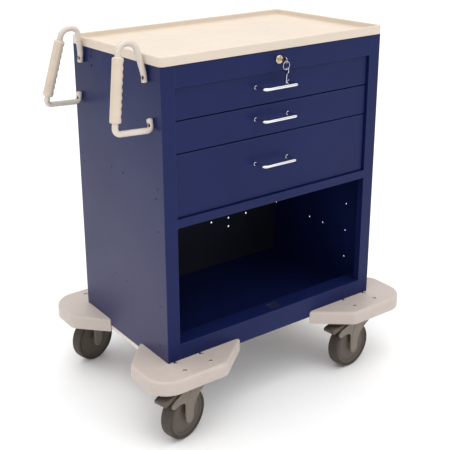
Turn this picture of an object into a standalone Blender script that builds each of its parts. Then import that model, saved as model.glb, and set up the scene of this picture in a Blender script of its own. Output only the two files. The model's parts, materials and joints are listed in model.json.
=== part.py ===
"""Wheeled ward cabinet: three drawers over an open bay, a tray, a lock, handles, bumpers and casters.

Metres, +Z up. The front faces -Y. The floor is at z = 0 and the origin is under the middle of the whole
object's outline, push handles and bumpers included.
"""

import math

import bmesh
import bpy
from mathutils import Matrix, Vector

# Driving dimensions
WIDTH = 0.660
DEPTH = 0.400
HEIGHT = 0.730
GROUND = 0.166  # height of the cabinet's underside above the floor
SHEET = 0.0015
GAP = 0.0003  # between pieces that touch
BUMPER_ROUND = 0.007  # radius of their top edge
BUMPER_REACH = 0.077  # how far the bumpers stand out from the cabinet's faces
HANDLE_REACH = 0.1051  # how far the push handles stand out from the side panel

STILE = 0.035
STILE_RETURN = 0.018
LOCK_RAIL = 0.050
DRAWER_PITCHES = (0.0762, 0.0762, 0.1524)
DIVIDER = 0.021
SILL = 0.057
SILL_DEPTH = 0.055
BAY_FLOOR = 0.010

FRONT_RECESS = 0.007  # drawer fronts behind the stiles' face
FRONT_GAP = 0.0025
FRONT_THICK = 0.018
BOX_DEPTH = 0.345
SLIDE_HEIGHT = 0.030

TRAY_OVERHANG = 0.003
TRAY_HEIGHT = 0.022
TRAY_RIM = 0.006
TRAY_FLOOR = 0.006

BUMPER_TOP = 0.0165  # above the cabinet's underside
BUMPER_HEIGHT = 0.0355
BUMPER_WALL = 0.004
FRAME_HEIGHT = 0.012

CASTER_INSET = 0.054  # swivel axis in from the cabinet's side
CASTER_FORWARD = 0.025  # swivel axis out from the cabinet's front or back
BOLT_SPAN = (0.074, 0.040)
WHEEL_RADIUS = 0.0635
WHEEL_WIDTH = 0.032
TRAIL = 0.040
FORK_LEG = 0.005
FORK_INSIDE = 0.018
CROWN_TOP = 0.1412
AXLE = 0.004

LEFT = (HANDLE_REACH - WIDTH - BUMPER_REACH) / 2
RIGHT = LEFT + WIDTH
FRONT = -DEPTH / 2
BACK = DEPTH / 2
BASE = GROUND
TOP = BASE + HEIGHT
RAIL_BOTTOM = TOP - LOCK_RAIL
DIVIDER_TOP = RAIL_BOTTOM - sum(DRAWER_PITCHES)
DIVIDER_BOTTOM = DIVIDER_TOP - DIVIDER
SILL_TOP = BASE + SILL
MIDDLE = (LEFT + RIGHT) / 2
FACE = FRONT + FRONT_RECESS  # outer face of the drawer fronts
CROWN_BOTTOM = CROWN_TOP - 0.0105
PLATE_TOP = BASE - GAP - FRAME_HEIGHT - GAP
PLATE_BOTTOM = PLATE_TOP - 0.003


def clear_scene():
    for item in list(bpy.data.objects):
        bpy.data.objects.remove(item, do_unlink=True)


def material(name, colour, roughness=0.5, metallic=0.0):
    mat = bpy.data.materials.get(name)
    if mat is None:
        mat = bpy.data.materials.new(name)
        mat.use_nodes = True
        shader = mat.node_tree.nodes["Principled BSDF"]
        shader.inputs["Base Color"].default_value = (*colour, 1)
        shader.inputs["Roughness"].default_value = roughness
        shader.inputs["Metallic"].default_value = metallic
    return mat


def navy_paint():
    return material("navy_paint", (0.018, 0.03, 0.11), 0.35)


def grey_steel():
    return material("grey_steel", (0.45, 0.46, 0.47), 0.4, 1.0)


def chrome():
    return material("chrome", (0.85, 0.86, 0.88), 0.12, 1.0)


def cream_plastic():
    return material("cream_plastic", (0.75, 0.69, 0.58), 0.5)


def bumper_plastic():
    return material("bumper_plastic", (0.55, 0.49, 0.44), 0.55)


def fork_plastic():
    return material("fork_plastic", (0.24, 0.21, 0.18), 0.5)


def grey_rubber():
    return material("grey_rubber", (0.075, 0.062, 0.052), 0.7)


def dark_plastic():
    return material("dark_plastic", (0.09, 0.085, 0.08), 0.5)


# Mesh helpers


def finish(name, bm, mat, origin=(0, 0, 0), smooth=0.0):
    """Turns a bmesh made in world space into an object whose origin is at the given point."""
    bmesh.ops.recalc_face_normals(bm, faces=bm.faces)
    bmesh.ops.translate(bm, verts=bm.verts, vec=-Vector(origin))
    mesh = bpy.data.meshes.new(name)
    bm.to_mesh(mesh)
    bm.free()
    if smooth:
        mesh.shade_smooth()
        mesh.set_sharp_from_angle(angle=math.radians(smooth))
    obj = bpy.data.objects.new(name, mesh)
    obj.location = origin
    obj.data.materials.append(mat)
    bpy.context.scene.collection.objects.link(obj)
    return obj


def prism(bm, outline, axis, start, end):
    """Extrudes an outline along X, Y or Z. The outline's two numbers are the other two axes, in order."""

    def place(a, b, along):
        spot = [a, b]
        spot.insert("XYZ".index(axis), along)
        return bm.verts.new(spot)

    near = [place(a, b, start) for a, b in outline]
    far = [place(a, b, end) for a, b in outline]
    bm.faces.new(near)
    bm.faces.new(far)
    for i in range(len(outline)):
        j = (i + 1) % len(outline)
        bm.faces.new((near[i], near[j], far[j], far[i]))


def loft(bm, rings):
    """A solid through rings of equally many points, closed flat at both ends."""
    loops = [[bm.verts.new(point) for point in ring] for ring in rings]
    bm.faces.new(loops[0][::-1])
    bm.faces.new(loops[-1])
    for below, above in zip(loops, loops[1:]):
        for k in range(len(below)):
            nxt = (k + 1) % len(below)
            bm.faces.new((below[k], below[nxt], above[nxt], above[k]))


def box(bm, low, high):
    x0, y0, z0 = low
    x1, y1, z1 = high
    prism(bm, [(x0, y0), (x1, y0), (x1, y1), (x0, y1)], "Z", z0, z1)


def turned(bm, profile, axis, centre, sides):
    """Turns a closed profile of (radius, height) about a line along X, Y or Z; axis points become poles."""
    first, second = [i for i in range(3) if i != "XYZ".index(axis)]
    rings = []
    for radius, height in profile:
        ring = []
        for step in range(1 if radius == 0 else sides):
            turn = 2 * math.pi * step / sides
            spot = list(centre)
            spot["XYZ".index(axis)] += height
            spot[first] += radius * math.cos(turn)
            spot[second] += radius * math.sin(turn)
            ring.append(bm.verts.new(spot))
        rings.append(ring)
    pairs = list(zip(rings, rings[1:]))
    if profile[0][0] > 0:
        pairs.append((rings[-1], rings[0]))
    for one, two in pairs:
        for step in range(sides):
            after = (step + 1) % sides
            near = [one[step % len(one)], one[after % len(one)]]
            far = [two[after % len(two)], two[step % len(two)]]
            unique = list(dict.fromkeys(near + far))
            if len(unique) > 2:
                bm.faces.new(unique)


def cylinder(bm, axis, centre, radius, length, sides=16):
    """A closed cylinder, centred on the given point."""
    half = length / 2
    turned(bm, [(0, -half), (radius, -half), (radius, half), (0, half)], axis, centre, sides)


def arc(centre, radius, start, end, steps):
    """Points of an arc in the plane, angles in degrees."""
    turns = [math.radians(start + (end - start) * i / steps) for i in range(steps + 1)]
    return [(centre[0] + radius * math.cos(t), centre[1] + radius * math.sin(t)) for t in turns]


def rounded(outline, radii, steps=4):
    """An outline with each corner rounded by its own radius; a radius of 0 keeps the corner."""
    points = []
    for i, corner in enumerate(outline):
        here = Vector(corner)
        before = (Vector(outline[i - 1]) - here).normalized()
        after = (Vector(outline[(i + 1) % len(outline)]) - here).normalized()
        radius = radii[i]
        if not radius:
            points.append(tuple(here))
            continue
        half = before.angle(after) / 2
        centre = here + (before + after).normalized() * radius / math.sin(half)
        first = here + before * radius / math.tan(half) - centre
        last = here + after * radius / math.tan(half) - centre
        swing = first.angle_signed(last)
        for step in range(steps + 1):
            spot = first.copy()
            spot.rotate(Matrix.Rotation(-swing * step / steps, 2))
            points.append(tuple(centre + spot))
    return points


def rounded_box(bm, low, high, radius, steps=4):
    """A box whose four upright edges are rounded."""
    (x0, y0, z0), (x1, y1, z1) = low, high
    outline = [(x0, y0), (x1, y0), (x1, y1), (x0, y1)]
    prism(bm, rounded(outline, [radius] * 4, steps), "Z", z0, z1)


def tool(name, bm):
    """A helper solid for a Boolean: not part of the object."""
    obj = finish(name, bm, material("helper", (1, 0, 0)))
    obj.hide_render = True
    obj.display_type = "WIRE"
    return obj


def boolean(obj, bm, operation, name):
    helper = tool(f"{obj.name}_{name}", bm)
    change = obj.modifiers.new(name, "BOOLEAN")
    change.operation = operation
    change.object = helper
    change.solver = "EXACT"
    return obj


def cut(obj, bm, name="cut"):
    return boolean(obj, bm, "DIFFERENCE", name)


def join(obj, bm, name="join"):
    return boolean(obj, bm, "UNION", name)


def bevel(obj, width, segments=2, angle=40):
    edge = obj.modifiers.new("edges", "BEVEL")
    edge.width = width
    edge.segments = segments
    edge.limit_method = "ANGLE"
    edge.angle_limit = math.radians(angle)
    return obj


def holes(spots, axis, length, radius, sides=8):
    """One bmesh of separate drills."""
    bm = bmesh.new()
    for spot in spots:
        cylinder(bm, axis, spot, radius, length, sides)
    return bm


# Cabinet shell

# Small punched holes of the side panels: distance back from the front, height over the underside.
SIDE_HOLES = (
    [(back, 0.449) for back in (0.027, 0.177, 0.231, 0.380)]
    + [(back, 0.162) for back in (0.182, 0.238, 0.388)]
    + [(0.034, 0.424), (0.372, 0.428), (0.026, 0.347), (0.387, 0.352), (0.032, 0.051), (0.030, 0.156)]
)
SHELF_HOLES = [(0.092, 0.088 + 0.079 * row) for row in range(3)]
SIDE_SLOTS = [(0.305, 0.721), (0.306, 0.710), (0.308, 0.687)]
BACK_HOLES = [(0.418, 0.150), (0.481, 0.150), (0.481, 0.123), (0.547, 0.150)]


def side_panel(name, side):
    """One folded sheet: the wall, the front stile with its return, and a rear flange. side is -1 or 1."""
    wall = LEFT if side < 0 else RIGHT

    def inward(distance):
        return wall - side * distance

    outline = [
        (inward(0), FRONT),
        (inward(STILE), FRONT),
        (inward(STILE), FRONT + STILE_RETURN),
        (inward(STILE - SHEET), FRONT + STILE_RETURN),
        (inward(STILE - SHEET), FRONT + SHEET),
        (inward(SHEET), FRONT + SHEET),
        (inward(SHEET), BACK - SHEET),
        (inward(0.016), BACK - SHEET),
        (inward(0.016), BACK),
        (inward(0), BACK),
    ]
    radii = [0.002] + [0] * 8 + [0.002]
    bm = bmesh.new()
    prism(bm, rounded(outline, radii, 2), "Z", BASE, TOP)
    panel = finish(name, bm, navy_paint(), smooth=30)
    centre = inward(SHEET / 2)
    pattern = SIDE_HOLES if side < 0 else SIDE_HOLES + SHELF_HOLES
    spots = [(centre, FRONT + back, BASE + up) for back, up in pattern]
    cut(panel, holes(spots, "X", 0.01, 0.0022, 6), "holes")
    if side < 0:
        slots = [(centre, FRONT + back, BASE + up) for back, up in SIDE_SLOTS]
        cut(panel, holes(slots, "X", 0.01, 0.0030, 6), "slots")
        screws = [(centre, y, z) for y, z in HANDLE_SCREWS]
        cut(panel, holes(screws, "X", 0.01, 0.0028, 8), "screw_holes")
    return panel


BACK_INNER = BACK - SHEET - GAP - 0.0012  # inner face of the back panel


def back_panel():
    bm = bmesh.new()
    inset = SHEET + GAP
    low = (LEFT + inset, BACK_INNER, BASE)
    box(bm, low, (RIGHT - inset, BACK - SHEET - GAP, TOP - 0.004))
    panel = finish("back_panel", bm, navy_paint())
    spots = [(LEFT + x, BACK - SHEET, BASE + z) for x, z in BACK_HOLES]
    return cut(panel, holes(spots, "Y", 0.02, 0.0028), "holes")


def top_pan():
    """A flat sheet with flanges turned down at the front and back, under the tray."""
    flange = 0.014
    front = FRONT + SHEET + GAP
    back = BACK_INNER - GAP
    outline = [
        (front, TOP - SHEET),
        (front, TOP),
        (back, TOP),
        (back, TOP - flange),
        (back - SHEET, TOP - flange),
        (back - SHEET, TOP - SHEET),
        (front + SHEET, TOP - SHEET),
    ]
    inset = SHEET + GAP
    bm = bmesh.new()
    prism(bm, outline, "X", LEFT + inset, RIGHT - inset)
    pan = finish("top_pan", bm, navy_paint())
    clearance = bmesh.new()
    for wall, inward in ((LEFT, 1), (RIGHT, -1)):
        ends = sorted((wall + inward * (STILE - SHEET - GAP), wall + inward * (STILE + GAP)))
        box(clearance, (ends[0], FRONT, TOP - 0.01), (ends[1], FRONT + STILE_RETURN + GAP, TOP + 0.01))
    return cut(pan, clearance, "stile_slots")


def front_rail(name, low, high, shelf):
    """A folded strip between the stiles: a face with a flange turned back at its top and bottom."""
    outline = [
        (FRONT, low),
        (FRONT + shelf, low),
        (FRONT + shelf, low + SHEET),
        (FRONT + SHEET, low + SHEET),
        (FRONT + SHEET, high - SHEET),
        (FRONT + shelf, high - SHEET),
        (FRONT + shelf, high),
        (FRONT, high),
    ]
    bm = bmesh.new()
    prism(bm, outline, "X", LEFT + STILE + GAP, RIGHT - STILE - GAP)
    return finish(name, bm, navy_paint())


def lock_rail():
    rail = front_rail("lock_rail", RAIL_BOTTOM, TOP - SHEET - GAP, 0.016)
    return cut(rail, holes([(LOCK[0], FRONT, LOCK[1])], "Y", 0.02, LOCK_BARREL + 0.0005, 16), "lock_hole")


def floor_pan():
    """The bay's floor with the sill and its channel folded from the same sheet."""
    floor = BASE + BAY_FLOOR
    lip = 0.005  # how far the channel's top lies below the sill's edge
    edge = FRONT + 0.011
    channel = FRONT + SILL_DEPTH
    rear = BACK_INNER - GAP
    outline = [
        (FRONT, BASE),
        (rear, BASE),
        (rear, floor),
        (channel, floor),
        (channel, SILL_TOP - lip),
        (edge, SILL_TOP - lip),
        (edge, SILL_TOP),
        (FRONT, SILL_TOP),
    ]
    bm = bmesh.new()
    prism(bm, outline, "X", LEFT + SHEET + GAP, RIGHT - SHEET - GAP)
    pan = finish("floor_pan", bm, navy_paint())
    hollow = bmesh.new()
    inner = [
        (FRONT + SHEET, BASE - 0.01),
        (rear - SHEET, BASE - 0.01),
        (rear - SHEET, floor - SHEET),
        (channel - SHEET, floor - SHEET),
        (channel - SHEET, SILL_TOP - lip - SHEET),
        (FRONT + SHEET, SILL_TOP - lip - SHEET),
    ]
    prism(hollow, inner, "X", LEFT + 0.004, RIGHT - 0.004)
    cut(pan, hollow, "underside")
    notches = bmesh.new()
    for wall, inward in ((LEFT, 1), (RIGHT, -1)):
        ends = sorted((wall, wall + inward * (STILE + GAP)))
        box(notches, (ends[0], FRONT - 0.01, BASE - 0.01), (ends[1], FRONT + STILE_RETURN + GAP, TOP))
    cut(pan, notches, "stile_notches")
    slot = bmesh.new()
    low = (MIDDLE + 0.004, FRONT + 0.022, SILL_TOP - 0.02)
    box(slot, low, (MIDDLE + 0.038, FRONT + 0.044, SILL_TOP + 0.01))
    return cut(pan, slot, "latch_recess")


def tray():
    """Moulded top with a raised rim, standing on the top pan and reaching a little over the sides."""
    low = (LEFT - TRAY_OVERHANG, FRONT - TRAY_OVERHANG, TOP + GAP)
    high = (RIGHT + TRAY_OVERHANG, BACK + TRAY_OVERHANG, TOP + TRAY_HEIGHT)
    bm = bmesh.new()
    rounded_box(bm, low, high, 0.012, 3)
    body = finish("top_tray", bm, cream_plastic(), smooth=35)
    recess = bmesh.new()
    inner = (low[0] + TRAY_RIM, low[1] + TRAY_RIM, low[2] + TRAY_FLOOR)
    rounded_box(recess, inner, (high[0] - TRAY_RIM, high[1] - TRAY_RIM, high[2] + 0.01), 0.009, 3)
    cut(body, recess, "recess")
    return bevel(body, 0.0015, 1, 50)


# Drawers


def drawer_span(index):
    """Lowest and highest z of a drawer's front."""
    top = RAIL_BOTTOM - sum(DRAWER_PITCHES[:index])
    return top - DRAWER_PITCHES[index] + FRONT_GAP / 2, top - FRONT_GAP / 2


def drawer_front(index):
    """A folded pan, open at the back."""
    low, high = drawer_span(index)
    side = STILE + FRONT_GAP
    bm = bmesh.new()
    box(bm, (LEFT + side, FACE, low), (RIGHT - side, FACE + FRONT_THICK, high))
    front = finish(f"drawer_{index + 1}_front", bm, navy_paint(), smooth=30)
    inner = bmesh.new()
    box(
        inner,
        (LEFT + side + SHEET, FACE + SHEET, low + SHEET),
        (RIGHT - side - SHEET, FACE + FRONT_THICK + 0.01, high - SHEET),
    )
    bevel(front, 0.001, 1)
    cut(front, inner, "inside")
    feet = [(x, FACE, pull_height(index)) for x in PULL_FEET]
    return cut(front, holes(feet, "Y", 0.02, 0.0022, 6), "pull_holes")


BOX_SIDE = STILE + 0.0145  # from the cabinet's side to the drawer box's side


def drawer_box(index):
    """Open-topped steel box. The slide's inner member is riveted to each side and counts as part of it."""
    low, high = drawer_span(index)
    start = FACE + FRONT_THICK + GAP
    bottom, top = low + 0.006, box_top(index)
    left, right = LEFT + BOX_SIDE, RIGHT - BOX_SIDE
    bm = bmesh.new()
    box(bm, (left, start, bottom), (right, start + BOX_DEPTH, top))
    body = finish(f"drawer_{index + 1}_box", bm, grey_steel())
    inner = bmesh.new()
    box(
        inner,
        (left + SHEET, start + SHEET, bottom + SHEET),
        (right - SHEET, start + BOX_DEPTH - SHEET, top + 0.01),
    )
    cut(body, inner, "inside")
    runners = bmesh.new()
    middle = slide_height(index)
    for wall, outward in ((left, -1), (right, 1)):
        ends = sorted((wall - outward * SHEET / 2, wall + outward * 0.0085))
        half = SLIDE_HEIGHT / 2 - 0.0035
        low = (ends[0], start + 0.004, middle - half)
        box(runners, low, (ends[1], start + BOX_DEPTH - 0.002, middle + half))
    join(body, runners, "runners")
    height = hook_height(index)
    plate, flange = height + 0.028, height + HOOK_RISE + 0.001
    rear = start + BOX_DEPTH
    edge = BACK - 0.0205
    outline = [
        (rear - SHEET / 2, plate),
        (rear - SHEET / 2, plate + SHEET),
        (edge, plate + SHEET),
        (edge, flange),
        (edge - SHEET, flange),
        (edge - SHEET, plate),
    ]
    catch = bmesh.new()
    prism(catch, outline, "X", LOCK[0] - 0.008, LOCK[0] + 0.008)
    return join(body, catch, "catch")


def slide_height(index):
    low, high = drawer_span(index)
    return (low + high) / 2 - 0.004


def slide(index, side):
    """Fixed slide member: a channel open towards the drawer, on a bracket from the side panel."""
    wall = LEFT if side < 0 else RIGHT
    middle = slide_height(index)

    def inward(distance):
        return wall - side * distance

    half = SLIDE_HEIGHT / 2
    web = STILE + 0.003
    mouth = BOX_SIDE - 0.0012
    outline = [
        (inward(SHEET + GAP), middle + half),
        (inward(mouth), middle + half),
        (inward(mouth), middle + half - SHEET),
        (inward(web + SHEET), middle + half - SHEET),
        (inward(web + SHEET), middle - half + SHEET),
        (inward(mouth), middle - half + SHEET),
        (inward(mouth), middle - half),
        (inward(web), middle - half),
        (inward(web), middle + half - SHEET),
        (inward(SHEET * 2 + GAP), middle + half - SHEET),
        (inward(SHEET * 2 + GAP), middle - half),
        (inward(SHEET + GAP), middle - half),
    ]
    bm = bmesh.new()
    prism(bm, outline, "Y", FACE + FRONT_THICK + 0.002, BACK - 0.020)
    hand = "left" if side < 0 else "right"
    return finish(f"slide_{index + 1}_{hand}", bm, grey_steel())


PULL_SPAN = 0.098
PULL_STANDOFF = 0.035
PULL_CENTRE = MIDDLE - 0.016
PULL_FEET = (PULL_CENTRE - PULL_SPAN / 2, PULL_CENTRE + PULL_SPAN / 2)


def pull_height(index):
    """The pull's height: the middle of a shallow front, nearer the middle of the deep one."""
    low, high = drawer_span(index)
    return high - (0.031 if index < 2 else 0.064)


def sweep(name, path, radius, mat, sides=12, width=None, up=Vector((0, 0, 1))):
    """A closed rod along a path. width gives an oval section, wider along up."""
    bm = bmesh.new()
    points = [Vector(p) for p in path]
    rings = []
    for i, point in enumerate(points):
        ahead = points[min(i + 1, len(points) - 1)] - point
        behind = point - points[max(i - 1, 0)]
        along = (ahead.normalized() + behind.normalized()).normalized()
        across = along.cross(up).normalized()
        other = across.cross(along).normalized()
        ring = []
        for step in range(sides):
            turn = 2 * math.pi * step / sides
            offset = across * math.cos(turn) * radius + other * math.sin(turn) * (width or radius)
            ring.append(bm.verts.new(point + offset))
        rings.append(ring)
    bm.faces.new(rings[0])
    bm.faces.new(rings[-1])
    for one, two in zip(rings, rings[1:]):
        for step in range(sides):
            after = (step + 1) % sides
            bm.faces.new((one[step], one[after], two[after], two[step]))
    return finish(name, bm, mat, smooth=40)


def bent_path(corners, radii, steps=5):
    """A path in space with each inner corner rounded by an arc."""
    points = [Vector(corners[0])]
    for i in range(1, len(corners) - 1):
        here = Vector(corners[i])
        before = (Vector(corners[i - 1]) - here).normalized()
        after = (Vector(corners[i + 1]) - here).normalized()
        half = before.angle(after) / 2
        radius = radii[i - 1]
        centre = here + (before + after).normalized() * radius / math.sin(half)
        first = here + before * radius / math.tan(half) - centre
        last = here + after * radius / math.tan(half) - centre
        turn = first.rotation_difference(last)
        for step in range(steps + 1):
            spot = first.copy()
            axis, angle = turn.to_axis_angle()
            spot.rotate(Matrix.Rotation(angle * step / steps, 3, axis))
            points.append(centre + spot)
    points.append(Vector(corners[-1]))
    return points


def drawer_pull(index):
    height = pull_height(index)
    left, right = PULL_FEET
    start = FACE - GAP
    out = FACE - PULL_STANDOFF
    corners = [(left, start, height), (left, out, height), (right, out, height), (right, start, height)]
    path = bent_path(corners, [0.008, 0.008], 4)
    return sweep(f"drawer_{index + 1}_pull", path, 0.004, chrome(), 10)


# Lock

LOCK = (MIDDLE - 0.003, TOP - 0.023)
LOCK_BARREL = 0.008
LOCK_FACE = FRONT - 0.004
PLUG = 0.0055
BOW_HOLE = FRONT - 0.0265
RING = 0.0095
RING_WIRE = 0.0007
RING_CENTRE = LOCK[1] - 0.0012 - RING
KEY = 0.001  # half the key's thickness
KEY_BLADE = 0.0026  # half the blade's height
KEY_START = FRONT - 0.030  # outer end of the key's bow
KEY_LENGTH = 0.042
CAM_PIN = 0.0087  # from the lock's axis to the drive pin
CAM_START = FRONT + 0.022 + GAP


def lock_cylinder():
    """Barrel with a flange in front of the rail, bored through for the plug."""
    flange = 0.0105
    profile = [
        (PLUG + 0.0003, LOCK_FACE),
        (flange - 0.001, LOCK_FACE),
        (flange, LOCK_FACE + 0.001),
        (flange, FRONT - GAP),
        (LOCK_BARREL, FRONT - GAP),
        (LOCK_BARREL, FRONT + 0.020),
        (PLUG + 0.0003, FRONT + 0.020),
    ]
    bm = bmesh.new()
    turned(bm, profile, "Y", (LOCK[0], 0, LOCK[1]), 16)
    return finish("lock_cylinder", bm, chrome(), smooth=35)


def key_outline(length):
    """Side view of a flat key: along is measured from the bow's outer end, across from the middle."""
    bow = 0.0085
    head = arc((bow, 0), bow, 160, 20, 8)
    tail = arc((bow, 0), bow, -20, -160, 8)
    shoulder = 2 * bow + 0.001
    blade = [(shoulder, KEY_BLADE), (length, KEY_BLADE), (length, -KEY_BLADE), (shoulder, -KEY_BLADE)]
    return head + blade + tail


def lock_plug():
    """The part of the lock that turns with the key, slotted for its blade."""
    profile = [
        (0, LOCK_FACE - 0.0008),
        (PLUG, LOCK_FACE - 0.0008),
        (PLUG, FRONT + 0.022),
        (0.003, FRONT + 0.022),
        (0.003, FRONT + 0.0250),
        (0, FRONT + 0.0250),
    ]
    bm = bmesh.new()
    turned(bm, profile, "Y", (LOCK[0], 0, LOCK[1]), 16)
    plug = finish("lock_plug", bm, chrome(), (LOCK[0], FRONT, LOCK[1]), smooth=35)
    keyway = bmesh.new()
    wide, tall = KEY + GAP, KEY_BLADE + GAP
    low = (LOCK[0] - wide, FRONT - 0.02, LOCK[1] - tall)
    box(keyway, low, (LOCK[0] + wide, KEY_START + KEY_LENGTH + 0.001, LOCK[1] + tall))
    return cut(plug, keyway, "keyway")


def key():
    """A flat key standing out of the plug, its bow upright."""
    bm = bmesh.new()
    outline = [(KEY_START + along, LOCK[1] + across) for along, across in key_outline(KEY_LENGTH)]
    prism(bm, outline, "X", LOCK[0] - KEY, LOCK[0] + KEY)
    body = finish("key", bm, chrome(), (LOCK[0], FRONT, LOCK[1]))
    return cut(body, holes([(LOCK[0], BOW_HOLE, LOCK[1])], "X", 0.01, 0.0022, 12), "bow_hole")


def key_ring():
    """A wire ring threaded through the inserted key's bow, hanging below it."""
    centre = (LOCK[0], BOW_HOLE, RING_CENTRE)
    profile = []
    for step in range(6):
        turn = 2 * math.pi * step / 6
        profile.append((RING + RING_WIRE * math.cos(turn), RING_WIRE * math.sin(turn)))
    bm = bmesh.new()
    turned(bm, profile, "Y", centre, 20)
    return finish("key_ring", bm, chrome(), (LOCK[0], BOW_HOLE, LOCK[1] - 0.0012), smooth=60)


def pin_spot():
    """Centre of the drive pin at rest, 45 degrees below level."""
    return Matrix.Rotation(math.radians(-45), 2) @ Vector((CAM_PIN, 0)) + Vector(LOCK)


def lock_cam():
    """A plate on the plug's tail with a drive pin off the axis, 45 degrees below level at rest."""
    start = CAM_START
    outline = arc((0, 0), 0.0075, 90, 270, 8) + arc((0.006, 0), 0.0075, -90, 90, 8)
    turn = Matrix.Rotation(math.radians(-45), 2)
    placed = [turn @ Vector(p) + Vector(LOCK) for p in outline]
    bm = bmesh.new()
    prism(bm, [tuple(p) for p in placed], "Y", start, start + 0.002)
    cam = finish("lock_cam", bm, grey_steel(), (LOCK[0], FRONT, LOCK[1]), smooth=35)
    cut(cam, holes([(LOCK[0], start, LOCK[1])], "Y", 0.02, 0.0033, 12), "tail_hole")
    pin = pin_spot()
    peg = bmesh.new()
    cylinder(peg, "Y", (pin[0], start + 0.0055, pin[1]), 0.002, 0.009, 12)
    return join(cam, peg, "drive_pin")


BAR_WIDTH = 0.016
BAR_REAR = BACK - 0.0150
HOOK_RISE = 0.015  # from the hook's arm to the tip of its finger


def box_top(index):
    return drawer_span(index)[1] - 0.012


def hook_height(index):
    return box_top(index) - 0.034


def lock_bar():
    """Arm over the drawers from the cam to the back, then a leg down behind them with a hook for each drawer.

    The cam's pin lifts it; each hook's finger then stands in front of a drawer's catch.
    """
    start = FRONT + 0.0262
    arm = LOCK[1] - 0.016
    foot = hook_height(2) - 0.004
    thick = 0.003
    outline = [
        (start, arm),
        (BAR_REAR, arm),
        (BAR_REAR, foot),
        (BAR_REAR + thick, foot),
        (BAR_REAR + thick, arm + thick),
        (start + thick, arm + thick),
        (start + thick, LOCK[1] + 0.002),
        (start, LOCK[1] + 0.002),
    ]
    centre = LOCK[0]
    bm = bmesh.new()
    prism(bm, outline, "X", centre - BAR_WIDTH / 2, centre + BAR_WIDTH / 2)
    bar = finish("lock_bar", bm, grey_steel(), (centre, BAR_REAR, arm))
    pin = pin_spot()
    slot = bmesh.new()
    wide, tall = 0.0042, 0.0026
    right = min(pin[0] + wide, centre + BAR_WIDTH / 2 + 0.01)
    box(slot, (pin[0] - wide, start - 0.002, pin[1] - tall), (right, start + 0.006, pin[1] + tall))
    cut(bar, slot, "pin_slot")
    for index in range(len(DRAWER_PITCHES)):
        height = hook_height(index)
        front = BACK - 0.0275
        outline = [
            (front, height),
            (BAR_REAR + thick / 2, height),
            (BAR_REAR + thick / 2, height + thick),
            (front + 0.0025, height + thick),
            (front + 0.0025, height + HOOK_RISE),
            (front, height + HOOK_RISE),
        ]
        hook = bmesh.new()
        prism(hook, outline, "X", centre - 0.005, centre + 0.005)
        join(bar, hook, f"hook_{index + 1}")
    return bar


# Push handles

HANDLE_TUBE = 0.007
GRIP = 0.0135
HANDLE_LEAN = math.tan(math.radians(11))
# Distance from the front of each handle's lower screw, and which way its top leans
HANDLES = {"front": (0.036, 1), "rear": (0.370, -1)}
SCREW_LOW, SCREW_HIGH = 0.598, 0.701


def handle_point(which, out, height):
    """A point of a handle's plane: out from the side panel, height over the cabinet's underside."""
    back, lean = HANDLES[which]
    return Vector((LEFT - out, FRONT + back + lean * HANDLE_LEAN * (height - SCREW_LOW), BASE + height))


SCREW_HEIGHTS = (SCREW_LOW, SCREW_HIGH)
HANDLE_SCREWS = [tuple(handle_point(which, 0, height))[1:] for which in HANDLES for height in SCREW_HEIGHTS]
TUBE_OUT = HANDLE_TUBE + GAP
LEG_FOOT = (0.098, 0.592)  # where the gripped leg's line meets the foot bar and the top of the arch
LEG_HEAD = (0.059, 0.778)
GRIP_LOW, GRIP_HIGH = 0.615, 0.751


def handle_path(which):
    """From the foot by the lower screw, out, up the grip, over the arch and down to the upper screw."""
    corners = [
        (TUBE_OUT, 0.612),
        (TUBE_OUT, 0.587),
        LEG_FOOT,
        LEG_HEAD,
        (TUBE_OUT + 0.0122, 0.777),
        (TUBE_OUT, 0.713),
        (TUBE_OUT, 0.690),
    ]
    radii = [0.010, 0.012, 0.022, 0.020, 0.030]
    return bent_path([handle_point(which, *corner) for corner in corners], radii, 4)


def push_handle(which):
    path = handle_path(which)
    tube = sweep(f"push_handle_{which}", path, HANDLE_TUBE, cream_plastic(), 10, up=Vector((0, 1, 0)))
    spots = [handle_point(which, TUBE_OUT, height) for height in SCREW_HEIGHTS]
    cut(tube, holes(spots, "X", 0.03, 0.0026, 8), "screw_holes")
    flats = bmesh.new()
    for spot in spots:
        side = 0.0105 if spot is spots[1] else 0.009
        low = (spot.x - 0.02, spot.y - 0.009, spot.z - side)
        high = (spot.x - 0.0045, spot.y + 0.009, spot.z + side)
        box(flats, low, high)
    return cut(tube, flats, "screw_flats")


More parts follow.
